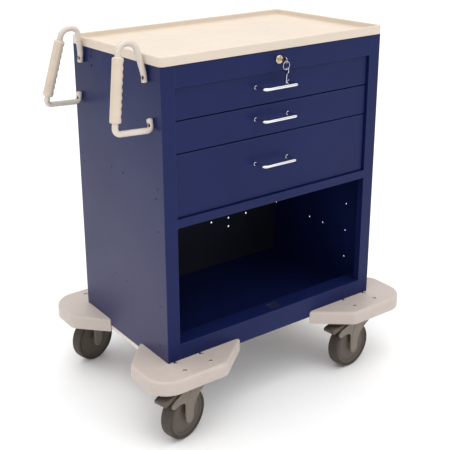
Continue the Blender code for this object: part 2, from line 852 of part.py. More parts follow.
def grip(which):
    """Sleeve over the handle's straight: ribs round it and finger grooves on the side facing the cabinet."""
    foot = handle_point(which, *LEG_FOOT)
    head = handle_point(which, *LEG_HEAD)
    rise = LEG_HEAD[1] - LEG_FOOT[1]
    low, high = [foot.lerp(head, (height - LEG_FOOT[1]) / rise) for height in (GRIP_LOW, GRIP_HIGH)]
    along = (high - low).normalized()
    inward = Vector((1, 0, 0))
    inward = (inward - along * inward.dot(along)).normalized()
    across = along.cross(inward)
    length = (high - low).length
    sides, rows, grooves = 12, 18, 9
    bm = bmesh.new()
    shells = []
    for bore in (False, True):
        rings = []
        for row in range(2 if bore else rows + 1):
            share = row / (1 if bore else rows)
            ring = []
            for step in range(sides):
                turn = 2 * math.pi * step / sides
                radius = HANDLE_TUBE + GAP
                if not bore:
                    facing = max(0.0, math.cos(turn))
                    wave = 0.5 - 0.5 * math.cos(2 * math.pi * grooves * share)
                    end = min(1.0, min(share, 1 - share) * rows)
                    radius = GRIP * (0.90 + 0.10 * end) - 0.0016 * facing * wave
                spot = low + along * length * share
                spot += (inward * math.cos(turn) + across * math.sin(turn)) * radius
                ring.append(bm.verts.new(spot))
            rings.append(ring)
        shells.append(rings)
        for one, two in zip(rings, rings[1:]):
            for step in range(sides):
                after = (step + 1) % sides
                bm.faces.new((one[step], one[after], two[after], two[step]))
    outer, inner = shells
    for ends in ((outer[0], inner[0]), (outer[-1], inner[-1])):
        for step in range(sides):
            after = (step + 1) % sides
            bm.faces.new((ends[0][step], ends[0][after], ends[1][after], ends[1][step]))
    return finish(f"grip_{which}", bm, cream_plastic(), smooth=50)


# Base: frame, bumpers and casters

CORNERS = {
    "front_left": (-1, -1, 14),
    "front_right": (1, -1, 4),
    "rear_left": (-1, 1, 14),
    "rear_right": (1, 1, 8),
}


def caster_spot(corner):
    side, end, _ = CORNERS[corner]
    x = LEFT + CASTER_INSET if side < 0 else RIGHT - CASTER_INSET
    y = FRONT - CASTER_FORWARD if end < 0 else BACK + CASTER_FORWARD
    return x, y


def bolt_spots(corner):
    x, y = caster_spot(corner)
    return [(x + sx * BOLT_SPAN[0] / 2, y + sy * BOLT_SPAN[1] / 2) for sx in (-1, 1) for sy in (-1, 1)]


def base_frame():
    """Welded H: two channels under the sides carry the casters, and a cross tube joins them."""
    top = BASE - GAP
    low = top - FRAME_HEIGHT
    reach = CASTER_FORWARD + BOLT_SPAN[1] / 2 + 0.012
    wide = 0.096
    bm = bmesh.new()
    start = LEFT + 0.001
    box(bm, (start, FRONT - reach, low), (start + wide, BACK + reach, top))
    frame = finish("base_frame", bm, cream_plastic())
    other = bmesh.new()
    box(other, (RIGHT - 0.001 - wide, FRONT - reach, low), (RIGHT - 0.001, BACK + reach, top))
    join(frame, other, "other_rail")
    across = bmesh.new()
    box(across, (LEFT + 0.09, -0.030, low), (RIGHT - 0.09, 0.030, top))
    join(frame, across, "cross_tube")
    hollow = bmesh.new()
    for x in (start, RIGHT - 0.001 - wide):
        box(hollow, (x + 0.002, FRONT + 0.03, low - 0.01), (x + wide - 0.002, BACK - 0.03, top - 0.002))
    cut(frame, hollow, "hollow")
    spots = [(x, y, top) for corner in CORNERS for x, y in bolt_spots(corner)]
    return cut(frame, holes(spots, "Z", 0.05, 0.0034, 6), "bolt_holes")


def bumper_outline(inset, inner):
    """A bumper in plan round a cabinet corner at the origin: arms along +X and +Y, the outside at -X and -Y.

    The inset shrinks the outer sides; inner is where the two sides against the cabinet lie.
    """
    reach = BUMPER_REACH - inset
    end = -0.003  # depth of each arm's blunt end
    x_arm, y_arm = 0.212 - inset * 1.6, 0.126 - inset * 1.6
    x_flank, y_flank = 0.118 - inset * 0.5, 0.050 - inset * 0.5
    outline = [
        (x_arm, inner),
        (inner, inner),
        (inner, y_arm),
        (end, y_arm),
        (-reach, y_flank),
        (-reach, -reach),
        (x_flank, -reach),
        (x_arm, end),
    ]
    return rounded(outline, [0, 0, 0, 0, 0.030, 0.062 - inset, 0.030, 0], 5)


def bumper(corner):
    """Moulded shell round one corner, open underneath, with room for the frame and the caster."""
    side, end, _ = CORNERS[corner]
    x0 = LEFT if side < 0 else RIGHT
    y0 = FRONT if end < 0 else BACK
    high = BASE + BUMPER_TOP
    low = high - BUMPER_HEIGHT

    def ring(inset, height, inner=-GAP):
        return [(x0 - side * x, y0 - end * y, height) for x, y in bumper_outline(inset, inner)]

    rings = [ring(0, low)]
    for step in range(4):
        turn = math.radians(30 * step)
        rings.append(ring(BUMPER_ROUND * (1 - math.cos(turn)), high - BUMPER_ROUND * (1 - math.sin(turn))))
    bm = bmesh.new()
    loft(bm, rings)
    shell = finish(f"bumper_{corner}", bm, bumper_plastic(), smooth=30)
    hollow = bmesh.new()
    loft(hollow, [ring(BUMPER_WALL, low - 0.01, 0.004), ring(BUMPER_WALL, high - BUMPER_WALL, 0.004)])
    cut(shell, hollow, "hollow")
    spots = [(x, y, high) for x, y in bolt_spots(corner)]
    return cut(shell, holes(spots, "Z", 0.05, 0.0034, 6), "bolt_holes")


def caster_plate(corner):
    """Top plate, raceway and kingpin: the part of the caster that is bolted to the frame."""
    x, y = caster_spot(corner)
    half = (0.048, 0.032)
    bm = bmesh.new()
    rounded_box(bm, (x - half[0], y - half[1], PLATE_BOTTOM), (x + half[0], y + half[1], PLATE_TOP), 0.008, 3)
    plate = finish(f"caster_plate_{corner}", bm, grey_steel(), (x, y, PLATE_BOTTOM), smooth=35)
    race = bmesh.new()
    profile = [
        (0, PLATE_BOTTOM + 0.001),
        (0.027, PLATE_BOTTOM + 0.001),
        (0.027, PLATE_BOTTOM - 0.004),
        (0.024, CROWN_TOP + GAP),
        (0.006, CROWN_TOP + GAP),
        (0.006, CROWN_BOTTOM - GAP),
        (0.010, CROWN_BOTTOM - GAP),
        (0.008, CROWN_BOTTOM - 0.0035),
        (0, CROWN_BOTTOM - 0.0035),
    ]
    turned(race, profile, "Z", (x, y, 0), 14)
    join(plate, race, "raceway")
    spots = [(bx, by, PLATE_TOP) for bx, by in bolt_spots(corner)]
    return cut(plate, holes(spots, "Z", 0.02, 0.0034, 6), "bolt_holes")


def swivel_empty(corner):
    """Empty on the swivel axis, turned to the way the caster trails. Its -X is the trailing side."""
    x, y = caster_spot(corner)
    empty = bpy.data.objects.new(f"swivel_{corner}", None)
    empty.location = (x, y, 0)
    empty.rotation_euler = (0, 0, math.radians(CORNERS[corner][2]))
    bpy.context.scene.collection.objects.link(empty)
    return empty


def under(obj, parent):
    """Parents an object, and the helpers of its Booleans, keeping their places as local to the parent."""
    for item in [obj] + [m.object for m in obj.modifiers if m.type == "BOOLEAN"]:
        item.parent = parent
    return obj


def fork(corner, brake):
    """Crown over the wheel with a leg each side; the braked one carries two ears for the pedal."""
    crown_side = [
        (-0.034, CROWN_BOTTOM),
        (-0.036, CROWN_BOTTOM + 0.004),
        (-0.024, CROWN_TOP),
        (0.020, CROWN_TOP),
        (0.029, CROWN_TOP - 0.006),
        (0.028, CROWN_BOTTOM),
    ]
    width = FORK_INSIDE + FORK_LEG
    bm = bmesh.new()
    prism(bm, crown_side, "Y", -width, width)
    body = finish(f"fork_{corner}", bm, fork_plastic(), smooth=30)
    foot = arc((-TRAIL, WHEEL_RADIUS - 0.0075), 0.013, 180, 355, 7)
    leg = [(-0.046, CROWN_BOTTOM + 0.004)]
    leg += [(-0.0515, 0.100)] + foot
    leg += [(-0.022, 0.085), (-0.010, 0.105), (0.012, 0.119), (0.028, CROWN_BOTTOM)]
    leg += [(0.029, CROWN_BOTTOM + 0.004)]
    if brake:
        leg[0] = (-0.030, CROWN_BOTTOM + 0.004)
        ear = [(-0.064, 0.1360), (-0.090, 0.1250), (-0.1005, 0.1165), (-0.0995, 0.1085), (-0.092, 0.1045)]
        leg[1:2] = ear + [(-0.075, 0.1075), (-0.060, 0.1060), (-0.053, 0.098)]
    for side in (-1, 1):
        plate = bmesh.new()
        prism(plate, leg, "Y", side * FORK_INSIDE, side * width)
        join(body, plate, f"leg_{side}")
    bore = bmesh.new()
    cylinder(bore, "Z", (0, 0, CROWN_TOP), 0.0065, 0.05, 14)
    cut(body, bore, "kingpin_bore")
    axle_bore = bmesh.new()
    cylinder(axle_bore, "Y", (-TRAIL, 0, WHEEL_RADIUS), AXLE + GAP, 0.08, 12)
    cut(body, axle_bore, "axle_bore")
    for side in (-1, 1):
        seat = bmesh.new()
        cylinder(seat, "Y", (-TRAIL, side * (width + 0.002), WHEEL_RADIUS), 0.0068, 0.0095, 12)
        cut(body, seat, f"axle_seat_{side}")
    if brake:
        pin_bore = bmesh.new()
        cylinder(pin_bore, "Y", (PEDAL_PIVOT[0], 0, PEDAL_PIVOT[1]), 0.0023, 0.08, 8)
        cut(body, pin_bore, "pedal_bore")
    return body


PEDAL_PIVOT = (-0.0595, 0.1285)


def axle(corner):
    """Bolt through the wheel with a flat head at each end, sunk in the fork's legs."""
    seat = FORK_INSIDE + FORK_LEG - 0.0025
    profile = [
        (0, -seat - 0.002),
        (0.0062, -seat - 0.002),
        (0.0062, -seat),
        (AXLE, -seat),
        (AXLE, seat),
        (0.0062, seat),
        (0.0062, seat + 0.002),
        (0, seat + 0.002),
    ]
    bm = bmesh.new()
    turned(bm, profile, "Y", (-TRAIL, 0, WHEEL_RADIUS), 12)
    return finish(f"axle_{corner}", bm, grey_steel(), (-TRAIL, 0, WHEEL_RADIUS), smooth=35)


RIM = 0.054


def wheel(corner):
    """Moulded wheel: hub, slightly dished discs and a raised rim."""
    hub = FORK_INSIDE - GAP
    bore = AXLE + GAP
    half = [(bore, hub), (0.0125, hub), (0.0135, 0.0120)]
    half += [(0.0485, 0.0105), (0.0505, 0.0135), (RIM - GAP, 0.0135)]
    profile = half + [(radius, -height) for radius, height in reversed(half)]
    bm = bmesh.new()
    turned(bm, profile, "Y", (-TRAIL, 0, WHEEL_RADIUS), 24)
    return finish(f"wheel_{corner}", bm, dark_plastic(), (-TRAIL, 0, WHEEL_RADIUS), smooth=35)


def tyre(corner):
    """Rubber tread with rounded shoulders round the wheel."""
    half_width = WHEEL_WIDTH / 2
    shoulder = 0.005
    half = [(RIM, half_width - 0.002)]
    for turn in (90, 45, 0):
        t = math.radians(turn)
        radius = WHEEL_RADIUS - 0.0008 - shoulder + shoulder * math.cos(t)
        half.append((radius, half_width - shoulder + shoulder * math.sin(t)))
    half.append((WHEEL_RADIUS, 0.005))
    profile = half + [(radius, -height) for radius, height in reversed(half)]
    bm = bmesh.new()
    turned(bm, profile, "Y", (-TRAIL, 0, WHEEL_RADIUS), 32)
    return finish(f"tyre_{corner}", bm, grey_rubber(), (-TRAIL, 0, WHEEL_RADIUS), smooth=50)


def brake_pedal(corner):
    """Foot lever over the trailing side of the wheel, hinged between the fork's ears."""
    x, z = PEDAL_PIVOT
    half = FORK_INSIDE - 0.0008
    outline = [
        (x + 0.006, z - 0.002),
        (x + 0.006, z + 0.005),
        (x - 0.002, z + 0.0105),
        (x - 0.016, z + 0.0105),
        (x - 0.050, z + 0.0045),
        (x - 0.0600, z + 0.0005),
        (x - 0.0605, z - 0.0065),
        (x - 0.056, z - 0.0085),
        (x - 0.030, z - 0.0050),
        (x - 0.010, z - 0.0010),
        (x - 0.004, z - 0.0035),
    ]
    bm = bmesh.new()
    prism(bm, outline, "Y", -half, half)
    pedal = finish(f"brake_pedal_{corner}", bm, dark_plastic(), (x, 0, z), smooth=30)
    pin = bmesh.new()
    cylinder(pin, "Y", (x, 0, z), 0.002, 2 * (FORK_INSIDE + FORK_LEG) - 0.001, 8)
    return join(pedal, pin, "pivot_pin")


def caster(corner):
    caster_plate(corner)
    brake = CORNERS[corner][1] < 0
    empty = swivel_empty(corner)
    for piece in (fork(corner, brake), axle(corner), wheel(corner), tyre(corner)):
        under(piece, empty)
    if brake:
        under(brake_pedal(corner), empty)


def cabinet():
    side_panel("side_panel_left", -1)
    side_panel("side_panel_right", 1)
    back_panel()
    top_pan()
    lock_rail()
    front_rail("divider_rail", DIVIDER_BOTTOM, DIVIDER_TOP, 0.022)
    floor_pan()
    tray()


def main():
    clear_scene()
    cabinet()
    for index in range(len(DRAWER_PITCHES)):
        drawer_front(index)
        drawer_box(index)
        drawer_pull(index)
        slide(index, -1)
        slide(index, 1)
    lock_cylinder()
    lock_plug()
    key()
    key_ring()
    lock_cam()
    lock_bar()
    for which in HANDLES:
        push_handle(which)
        grip(which)
    base_frame()
    for corner in CORNERS:
        bumper(corner)
        caster(corner)


main()
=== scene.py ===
"""The looks of the wheeled ward cabinet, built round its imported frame. Metres, in the frame's own axes."""

import json
import math

import bmesh
import bpy
from mathutils import Matrix, Vector


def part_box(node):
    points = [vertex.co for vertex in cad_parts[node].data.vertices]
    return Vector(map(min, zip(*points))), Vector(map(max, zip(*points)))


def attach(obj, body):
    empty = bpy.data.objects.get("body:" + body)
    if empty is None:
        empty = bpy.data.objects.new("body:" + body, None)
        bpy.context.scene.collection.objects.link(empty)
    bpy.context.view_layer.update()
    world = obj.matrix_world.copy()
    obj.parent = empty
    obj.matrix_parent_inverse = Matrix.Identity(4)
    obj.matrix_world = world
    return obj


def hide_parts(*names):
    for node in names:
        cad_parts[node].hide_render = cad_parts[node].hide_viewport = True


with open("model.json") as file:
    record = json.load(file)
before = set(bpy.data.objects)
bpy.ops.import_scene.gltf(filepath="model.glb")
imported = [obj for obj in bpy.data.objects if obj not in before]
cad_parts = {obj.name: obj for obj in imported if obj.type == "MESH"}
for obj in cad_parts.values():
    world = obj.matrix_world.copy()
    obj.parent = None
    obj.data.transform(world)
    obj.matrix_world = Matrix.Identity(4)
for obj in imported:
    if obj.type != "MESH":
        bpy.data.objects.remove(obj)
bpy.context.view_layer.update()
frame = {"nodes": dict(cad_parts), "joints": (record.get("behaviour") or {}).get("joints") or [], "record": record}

NODES = frame["nodes"]
JOINTS = {joint["name"]: joint for joint in frame["joints"]}
BODY_OF = {node: body for body, nodes in frame["record"]["behaviour"]["bodies"].items() for node in nodes}
SLOT_OF = {part["node"]: part["material_slot"] for part in frame["record"]["subparts"]}

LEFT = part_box("side_panel_left")[0].x
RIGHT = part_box("side_panel_right")[1].x
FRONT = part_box("side_panel_left")[0].y
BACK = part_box("side_panel_left")[1].y
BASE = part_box("side_panel_left")[0].z
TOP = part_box("side_panel_left")[1].z
CORNERS = {"front_left": (-1, -1), "front_right": (1, -1), "rear_left": (-1, 1), "rear_right": (1, 1)}
GAP = 0.0003

# The camera stands before the front left corner of the cabinet, looking right, back and down.
CAMERA_SPOT = (LEFT - 0.9627, FRONT - 1.5047, BASE + 1.0946)
CAMERA_YAW = 33.44
CAMERA_PITCH = 18.49
CAMERA_ROLL = -1.30
CAMERA_LENS = 68.55
CAMERA_SHIFT = (0.1111, -0.1178)


# Materials


def linear(*levels):
    """Linear colour from red, green and blue levels of 0 to 255."""

    def convert(level):
        share = level / 255
        return share / 12.92 if share <= 0.04045 else ((share + 0.055) / 1.055) ** 2.4

    return tuple(convert(level) for level in levels)


class Nodes:
    """A material's node tree with short ways to add to it."""

    def __init__(self, name):
        self.mat = bpy.data.materials.new(name)
        self.mat.use_nodes = True
        self.tree = self.mat.node_tree
        self.shader = self.tree.nodes["Principled BSDF"]
        self.place = self.tree.nodes.new("ShaderNodeTexCoord").outputs["Object"]

    def link(self, source, target):
        self.tree.links.new(source, target)

    def noise(self, scale, detail=3.0, stretch=None, rough=0.5):
        spot = self.place
        if stretch:
            mapping = self.tree.nodes.new("ShaderNodeMapping")
            mapping.inputs["Scale"].default_value = stretch
            self.link(spot, mapping.inputs["Vector"])
            spot = mapping.outputs["Vector"]
        node = self.tree.nodes.new("ShaderNodeTexNoise")
        node.inputs["Scale"].default_value = scale
        node.inputs["Detail"].default_value = detail
        node.inputs["Roughness"].default_value = rough
        self.link(spot, node.inputs["Vector"])
        return node.outputs["Fac"]

    def cells(self, scale):
        node = self.tree.nodes.new("ShaderNodeTexVoronoi")
        node.inputs["Scale"].default_value = scale
        self.link(self.place, node.inputs["Vector"])
        return node.outputs["Distance"]

    def span(self, value, low, high, start=0.3, end=0.7):
        """Maps a value's start to end onto low to high, clamped."""
        node = self.tree.nodes.new("ShaderNodeMapRange")
        node.inputs["From Min"].default_value = start
        node.inputs["From Max"].default_value = end
        node.inputs["To Min"].default_value = low
        node.inputs["To Max"].default_value = high
        self.link(value, node.inputs["Value"])
        return node.outputs["Result"]

    def maths(self, operation, one, two):
        node = self.tree.nodes.new("ShaderNodeMath")
        node.operation = operation
        for socket, value in zip(node.inputs, (one, two)):
            if isinstance(value, (int, float)):
                socket.default_value = value
            else:
                self.link(value, socket)
        return node.outputs["Value"]

    def mix(self, factor, one, two):
        node = self.tree.nodes.new("ShaderNodeMix")
        node.data_type = "RGBA"
        self.link(factor, node.inputs["Factor"])
        for socket, value in ((node.inputs[6], one), (node.inputs[7], two)):
            if isinstance(value, tuple):
                socket.default_value = (*value, 1)
            else:
                self.link(value, socket)
        return node.outputs[2]

    def edges(self, radius, low=0.02, high=0.25):
        """1 where the surface turns sharply within the radius, 0 on open faces."""
        soft = self.tree.nodes.new("ShaderNodeBevel")
        soft.samples = 4
        soft.inputs["Radius"].default_value = radius
        plain = self.tree.nodes.new("ShaderNodeNewGeometry")
        dot = self.tree.nodes.new("ShaderNodeVectorMath")
        dot.operation = "DOT_PRODUCT"
        self.link(soft.outputs["Normal"], dot.inputs[0])
        self.link(plain.outputs["Normal"], dot.inputs[1])
        return self.span(self.maths("SUBTRACT", 1.0, dot.outputs["Value"]), 0, 1, low, high)

    def bump(self, height, strength, distance, below=None):
        node = self.tree.nodes.new("ShaderNodeBump")
        node.inputs["Strength"].default_value = strength
        node.inputs["Distance"].default_value = distance
        self.link(height, node.inputs["Height"])
        if below:
            self.link(below, node.inputs["Normal"])
        return node.outputs["Normal"]

    def finish(self, colour, roughness, normal=None, **fixed):
        self.link(colour, self.shader.inputs["Base Color"])
        self.link(roughness, self.shader.inputs["Roughness"])
        if normal:
            self.link(normal, self.shader.inputs["Normal"])
        for name, value in fixed.items():
            self.shader.inputs[name.replace("_", " ")].default_value = value
        return self.mat


def shade(colour, factor):
    return tuple(channel * factor for channel in colour)


def navy_paint(name, colour=linear(18, 29, 76), painted_sheen=(0.0, 0.02), climb=None):
    """Satin powder coat: fine orange peel, faint clouds, and edges a little lighter, partly rubbed wear and partly
    a painted highlight.

    The sheen pair gives how strong the painted sheen, a pale hazy reflection, is at its least and most; climb
    (bottom, top) makes it grow downwards.
    """
    n = Nodes(name)
    cloud = n.span(n.noise(5.0, 4.0), 0, 1)
    body = n.mix(cloud, shade(colour, 0.92), shade(colour, 1.10))
    # Painted sheen: pale patches mixed into the colour as a hazy reflection on the coat; climb fades it towards
    # the top.
    sheen_mask = n.span(n.noise(2.2, 2.0), *painted_sheen, 0.35, 0.75)
    if climb:
        axes = n.tree.nodes.new("ShaderNodeSeparateXYZ")
        n.link(n.place, axes.inputs["Vector"])
        sheen_mask = n.maths("MULTIPLY", sheen_mask, n.span(axes.outputs["Z"], 1.0, 0.0, *climb))
    body = n.mix(sheen_mask, body, linear(120, 112, 128))
    scuff = n.span(n.noise(240.0, 2.0, stretch=(0.15, 0.15, 1.0)), 0.0, 0.25, 0.70, 0.80)
    # Edges turn a lighter blue: partly rubbed wear, partly a painted highlight for the light caught on folded
    # edges.
    edge_rub_and_highlight = n.maths("MULTIPLY", n.edges(0.0022), n.span(n.noise(34.0, 4.0), 0.25, 0.8))
    body = n.mix(scuff, body, shade(colour, 1.6))
    body = n.mix(edge_rub_and_highlight, body, linear(74, 84, 142))
    rough = n.span(n.noise(9.0, 3.0), 0.30, 0.40)
    peeling = n.bump(n.noise(520.0, 2.0), 0.22, 0.0004)
    wave = n.bump(n.noise(7.0, 1.0), 0.15, 0.004, peeling)
    return n.finish(body, rough, wave, Specular_IOR_Level=0.14)


def moulded(name, colour, rough=(0.42, 0.55), grain=0.25, mottle=0.06, edge=None, dirt=0.0):
    """Moulded plastic: pebbled grain, faint flow marks, a paler line on edges as a painted highlight, and dust in
    patches.
    """
    n = Nodes(name)
    flow = n.span(n.noise(14.0, 3.0, stretch=(1.0, 1.0, 2.5)), 0, 1)
    body = n.mix(flow, shade(colour, 1 - mottle), shade(colour, 1 + mottle))
    if dirt:
        patch = n.span(n.noise(38.0, 5.0, rough=0.65), 0.0, dirt, 0.5, 0.75)
        body = n.mix(patch, body, shade(colour, 0.62))
    # Painted highlight: edges mixed towards the paler edge colour where light catches the rounded edges.
    if edge:
        body = n.mix(n.maths("MULTIPLY", n.edges(0.002), 0.55), body, edge)
    roughness = n.span(n.noise(60.0, 3.0), *rough)
    pebble = n.bump(n.cells(1500.0), grain, 0.00025)
    sink = n.bump(n.noise(26.0, 2.0), 0.12, 0.0012, pebble)
    return n.finish(body, roughness, sink)


def rubber(name, colour):
    """Tyre rubber: warm brown grey, dusty, with fine scuffs round the tread."""
    n = Nodes(name)
    body = n.mix(n.span(n.noise(30.0, 5.0), 0, 1), shade(colour, 0.78), shade(colour, 1.2))
    dust = n.span(n.noise(160.0, 4.0, rough=0.7), 0.0, 0.22, 0.52, 0.72)
    body = n.mix(dust, body, linear(120, 110, 98))
    roughness = n.span(n.noise(80.0, 3.0), 0.55, 0.75)
    skin = n.bump(n.noise(1400.0, 3.0), 0.3, 0.0003)
    scuffs = n.bump(n.noise(210.0, 3.0, stretch=(1.0, 0.25, 1.0)), 0.25, 0.0006, skin)
    return n.finish(body, roughness, scuffs)


def metal(name, colour, rough=(0.08, 0.16), brushing=0.0, along=(1.0, 1.0, 1.0), spots=0.05):
    """Bare or plated metal with smudges, and brushing stretched along one way when it has a strength."""
    n = Nodes(name)
    body = n.mix(n.span(n.noise(45.0, 4.0), 0, 1), shade(colour, 1 - spots), colour)
    roughness = n.span(n.noise(110.0, 4.0), *rough)
    lines = n.noise(260.0, 2.0, stretch=along)
    normal = n.bump(lines, max(brushing, 0.03), 0.0003)
    return n.finish(body, roughness, normal, Metallic=1.0)


def enamel(name, colour, rough=(0.22, 0.34)):
    """Glossy cream coat on steel tube: slight runs and a soft mottle."""
    n = Nodes(name)
    body = n.mix(n.span(n.noise(20.0, 3.0), 0, 1), shade(colour, 0.93), shade(colour, 1.03))
    spots = n.span(n.noise(300.0, 3.0), 0.0, 0.3, 0.66, 0.74)
    body = n.mix(spots, body, shade(colour, 0.75))
    roughness = n.span(n.noise(70.0, 3.0), *rough)
    runs = n.bump(n.noise(160.0, 2.0), 0.16, 0.0006)
    return n.finish(body, roughness, runs, Coat_Weight=0.3, Coat_Roughness=0.15)


FINISHES = {
    "navy_paint": navy_paint("navy_coat"),
    "tray_plastic": moulded("tray_plastic_look", linear(214, 200, 184), (0.36, 0.48), 0.18, 0.025, None,
                            0.04),
    "cream_enamel": enamel("cream_enamel_look", linear(212, 201, 190)),
    "grip_plastic": moulded("grip_look", linear(208, 193, 176), (0.45, 0.6), 0.3, 0.04, None, 0.10),
    # For bumper, fork and wheel, the second colour is the painted highlight on their edges.
    "bumper_plastic": moulded("bumper_look", linear(192, 180, 172), (0.36, 0.50), 0.2, 0.035,
                              linear(236, 222, 206), 0.06),
    "fork_plastic": moulded("fork_look", linear(114, 104, 93), (0.40, 0.52), 0.2, 0.06,
                            linear(170, 158, 142), 0.12),
    "wheel_plastic": moulded("wheel_look", linear(80, 70, 62), (0.38, 0.5), 0.22, 0.08,
                             linear(120, 112, 104), 0.15),
    "tyre_rubber": rubber("tyre_look", linear(60, 52, 45)),
    "grey_steel": metal("grey_steel_look", linear(176, 178, 182), (0.28, 0.42), 0.10, (0.12, 1.0, 1.0), 0.12),
    "chrome": metal("chrome_look", linear(226, 226, 230), (0.06, 0.14)),
}
# The left panel's outer face gets a copy of the navy coat with a strong painted sheen, a pale hazy reflection that
# fades towards the top.
SIDE_SHEEN_COAT = navy_paint("navy_side_painted_sheen", painted_sheen=(0.20, 0.30), climb=(BASE + 0.2, TOP - 0.05))
# A darker copy of the navy coat: painted shade for the back panel inside the cabinet.
INNER_SHADE_COAT = navy_paint("navy_inner_painted_shade", linear(34, 36, 48))
NICKEL = metal("nickel_look", linear(214, 198, 176), (0.14, 0.24), 0.05, (1.0, 1.0, 1.0), 0.18)
DARK_STEEL = metal("dark_steel_look", linear(70, 66, 64), (0.3, 0.45), 0.08, (1.0, 1.0, 1.0), 0.2)
ZINC = metal("zinc_look", linear(205, 206, 210), (0.12, 0.22), 0.05, (1.0, 1.0, 1.0), 0.15)


# Mesh tools


def piece(name, bm, mat, smooth=35.0):
    """An object from a bmesh made in world space."""
    bmesh.ops.recalc_face_normals(bm, faces=bm.faces)
    mesh = bpy.data.meshes.new(name)
    bm.to_mesh(mesh)
    bm.free()
    mesh.shade_smooth()
    mesh.set_sharp_from_angle(angle=math.radians(smooth))
    obj = bpy.data.objects.new(name, mesh)
    obj.data.materials.append(mat)
    bpy.context.scene.collection.objects.link(obj)
    return obj


def stand_in(obj, node):
    """obj takes the place of one CAD node, on its body."""
    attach(obj, BODY_OF[node])
    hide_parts(node)
    return obj


def extra(obj, body):
    """obj is a piece of its own that rides on a body."""
    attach(obj, body)
    return obj


def apply_modifiers(obj):
    shown = obj.evaluated_get(bpy.context.evaluated_depsgraph_get())
    mesh = bpy.data.meshes.new_from_object(shown)
    obj.modifiers.clear()
    obj.data = mesh
    return obj


def prism(bm, outline, axis, start, end, matrix=Matrix.Identity(4)):
    """Extrudes an outline along X, Y or Z; its two numbers are the other two axes, in order."""

    def place(pair, along):
        spot = list(pair)
        spot.insert("XYZ".index(axis), along)
        return bm.verts.new(matrix @ Vector(spot))

    near = [place(pair, start) for pair in outline]
    far = [place(pair, end) for pair in outline]
    bm.faces.new(near)
    bm.faces.new(far)
    for i in range(len(outline)):
        j = (i + 1) % len(outline)
        bm.faces.new((near[i], near[j], far[j], far[i]))


def loft(bm, rings, closed=False, matrix=Matrix.Identity(4)):
    """A skin over rings of equally many points, capped at both ends unless the rings close on themselves."""
    loops = [[bm.verts.new(matrix @ Vector(point)) for point in ring] for ring in rings]
    pairs = list(zip(loops, loops[1:]))
    if closed:
        pairs.append((loops[-1], loops[0]))
    else:
        bm.faces.new(loops[0][::-1])
        bm.faces.new(loops[-1])
    for below, above in pairs:
        for k in range(len(below)):
            after = (k + 1) % len(below)
            bm.faces.new((below[k], below[after], above[after], above[k]))


def turned(bm, profile, matrix, sides=64):
    """Turns a (radius, height) profile about the matrix's Z axis.

    A profile that starts off the axis makes a ring.
    """
    rings = []
    for radius, height in profile:
        count = 1 if radius == 0 else sides
        turns = [2 * math.pi * step / sides for step in range(count)]
        rings.append([bm.verts.new(matrix @ Vector((radius * math.cos(t), radius * math.sin(t),
                                                    height))) for t in turns])
    pairs = list(zip(rings, rings[1:]))
    if profile[0][0] > 0:
        pairs.append((rings[-1], rings[0]))
    for one, two in pairs:
        for step in range(sides):
            after = (step + 1) % sides
            near = [one[step % len(one)], one[after % len(one)]]
            far = [two[after % len(two)], two[step % len(two)]]
            corners = list(dict.fromkeys(near + far))
            if len(corners) > 2:
                bm.faces.new(corners)


def arc(centre, radius, start, end, steps):
    turns = [math.radians(start + (end - start) * i / steps) for i in range(steps + 1)]
    return [(centre[0] + radius * math.cos(t), centre[1] + radius * math.sin(t)) for t in turns]


def rounded(outline, radii, steps=6):
    """An outline with each corner rounded by its own radius; a radius of 0 keeps the corner."""
    points = []
    for i, corner in enumerate(outline):
        here = Vector(corner)
        before = (Vector(outline[i - 1]) - here).normalized()
        after = (Vector(outline[(i + 1) % len(outline)]) - here).normalized()
        radius = radii[i]
        if not radius:
            points.append(tuple(here))
            continue
        half = before.angle(after) / 2
        centre = here + (before + after).normalized() * radius / math.sin(half)
        first = here + before * radius / math.tan(half) - centre
        last = here + after * radius / math.tan(half) - centre
        swing = first.angle_signed(last)
        for step in range(steps + 1):
            spot = first.copy()
            spot.rotate(Matrix.Rotation(-swing * step / steps, 2))
            points.append(tuple(centre + spot))
    return points


def helper(bm, name):
    """A solid for a Boolean, removed after it."""
    bmesh.ops.recalc_face_normals(bm, faces=bm.faces)
    mesh = bpy.data.meshes.new(name)
    bm.to_mesh(mesh)
    bm.free()
    tool = bpy.data.objects.new(name, mesh)
    bpy.context.scene.collection.objects.link(tool)
    return tool


def combine(obj, bm, operation):
    """Unites a solid with obj, or cuts it out of obj, at once."""
    tool = helper(bm, "tool")
    change = obj.modifiers.new("change", "BOOLEAN")
    change.operation = operation
    change.object = tool
    change.solver = "EXACT"
    apply_modifiers(obj)
    bpy.data.objects.remove(tool, do_unlink=True)
    return obj


def smooth_again(obj, angle=35.0):
    obj.data.shade_smooth()
    obj.data.set_sharp_from_angle(angle=math.radians(angle))
    return obj


def round_edges(obj, width, segments=2, angle=35.0):
    edge = obj.modifiers.new("edges", "BEVEL")
    edge.width = width
    edge.segments = segments
    edge.limit_method = "ANGLE"
    edge.angle_limit = math.radians(angle)
    edge.harden_normals = True
    return apply_modifiers(obj)


def soften(node, width, segments=2, angle=35.0):
    """A copy of a CAD node's solid with its edges rounded."""
    bm = bmesh.new()
    bm.from_mesh(NODES[node].data)
    bmesh.ops.remove_doubles(bm, verts=bm.verts, dist=1e-6)
    bmesh.ops.dissolve_limit(bm, angle_limit=math.radians(0.5), verts=bm.verts, edges=bm.edges)
    obj = piece(f"{node}_fine", bm, FINISHES[SLOT_OF[node]], angle)
    round_edges(obj, width, segments, angle)
    return stand_in(obj, node)


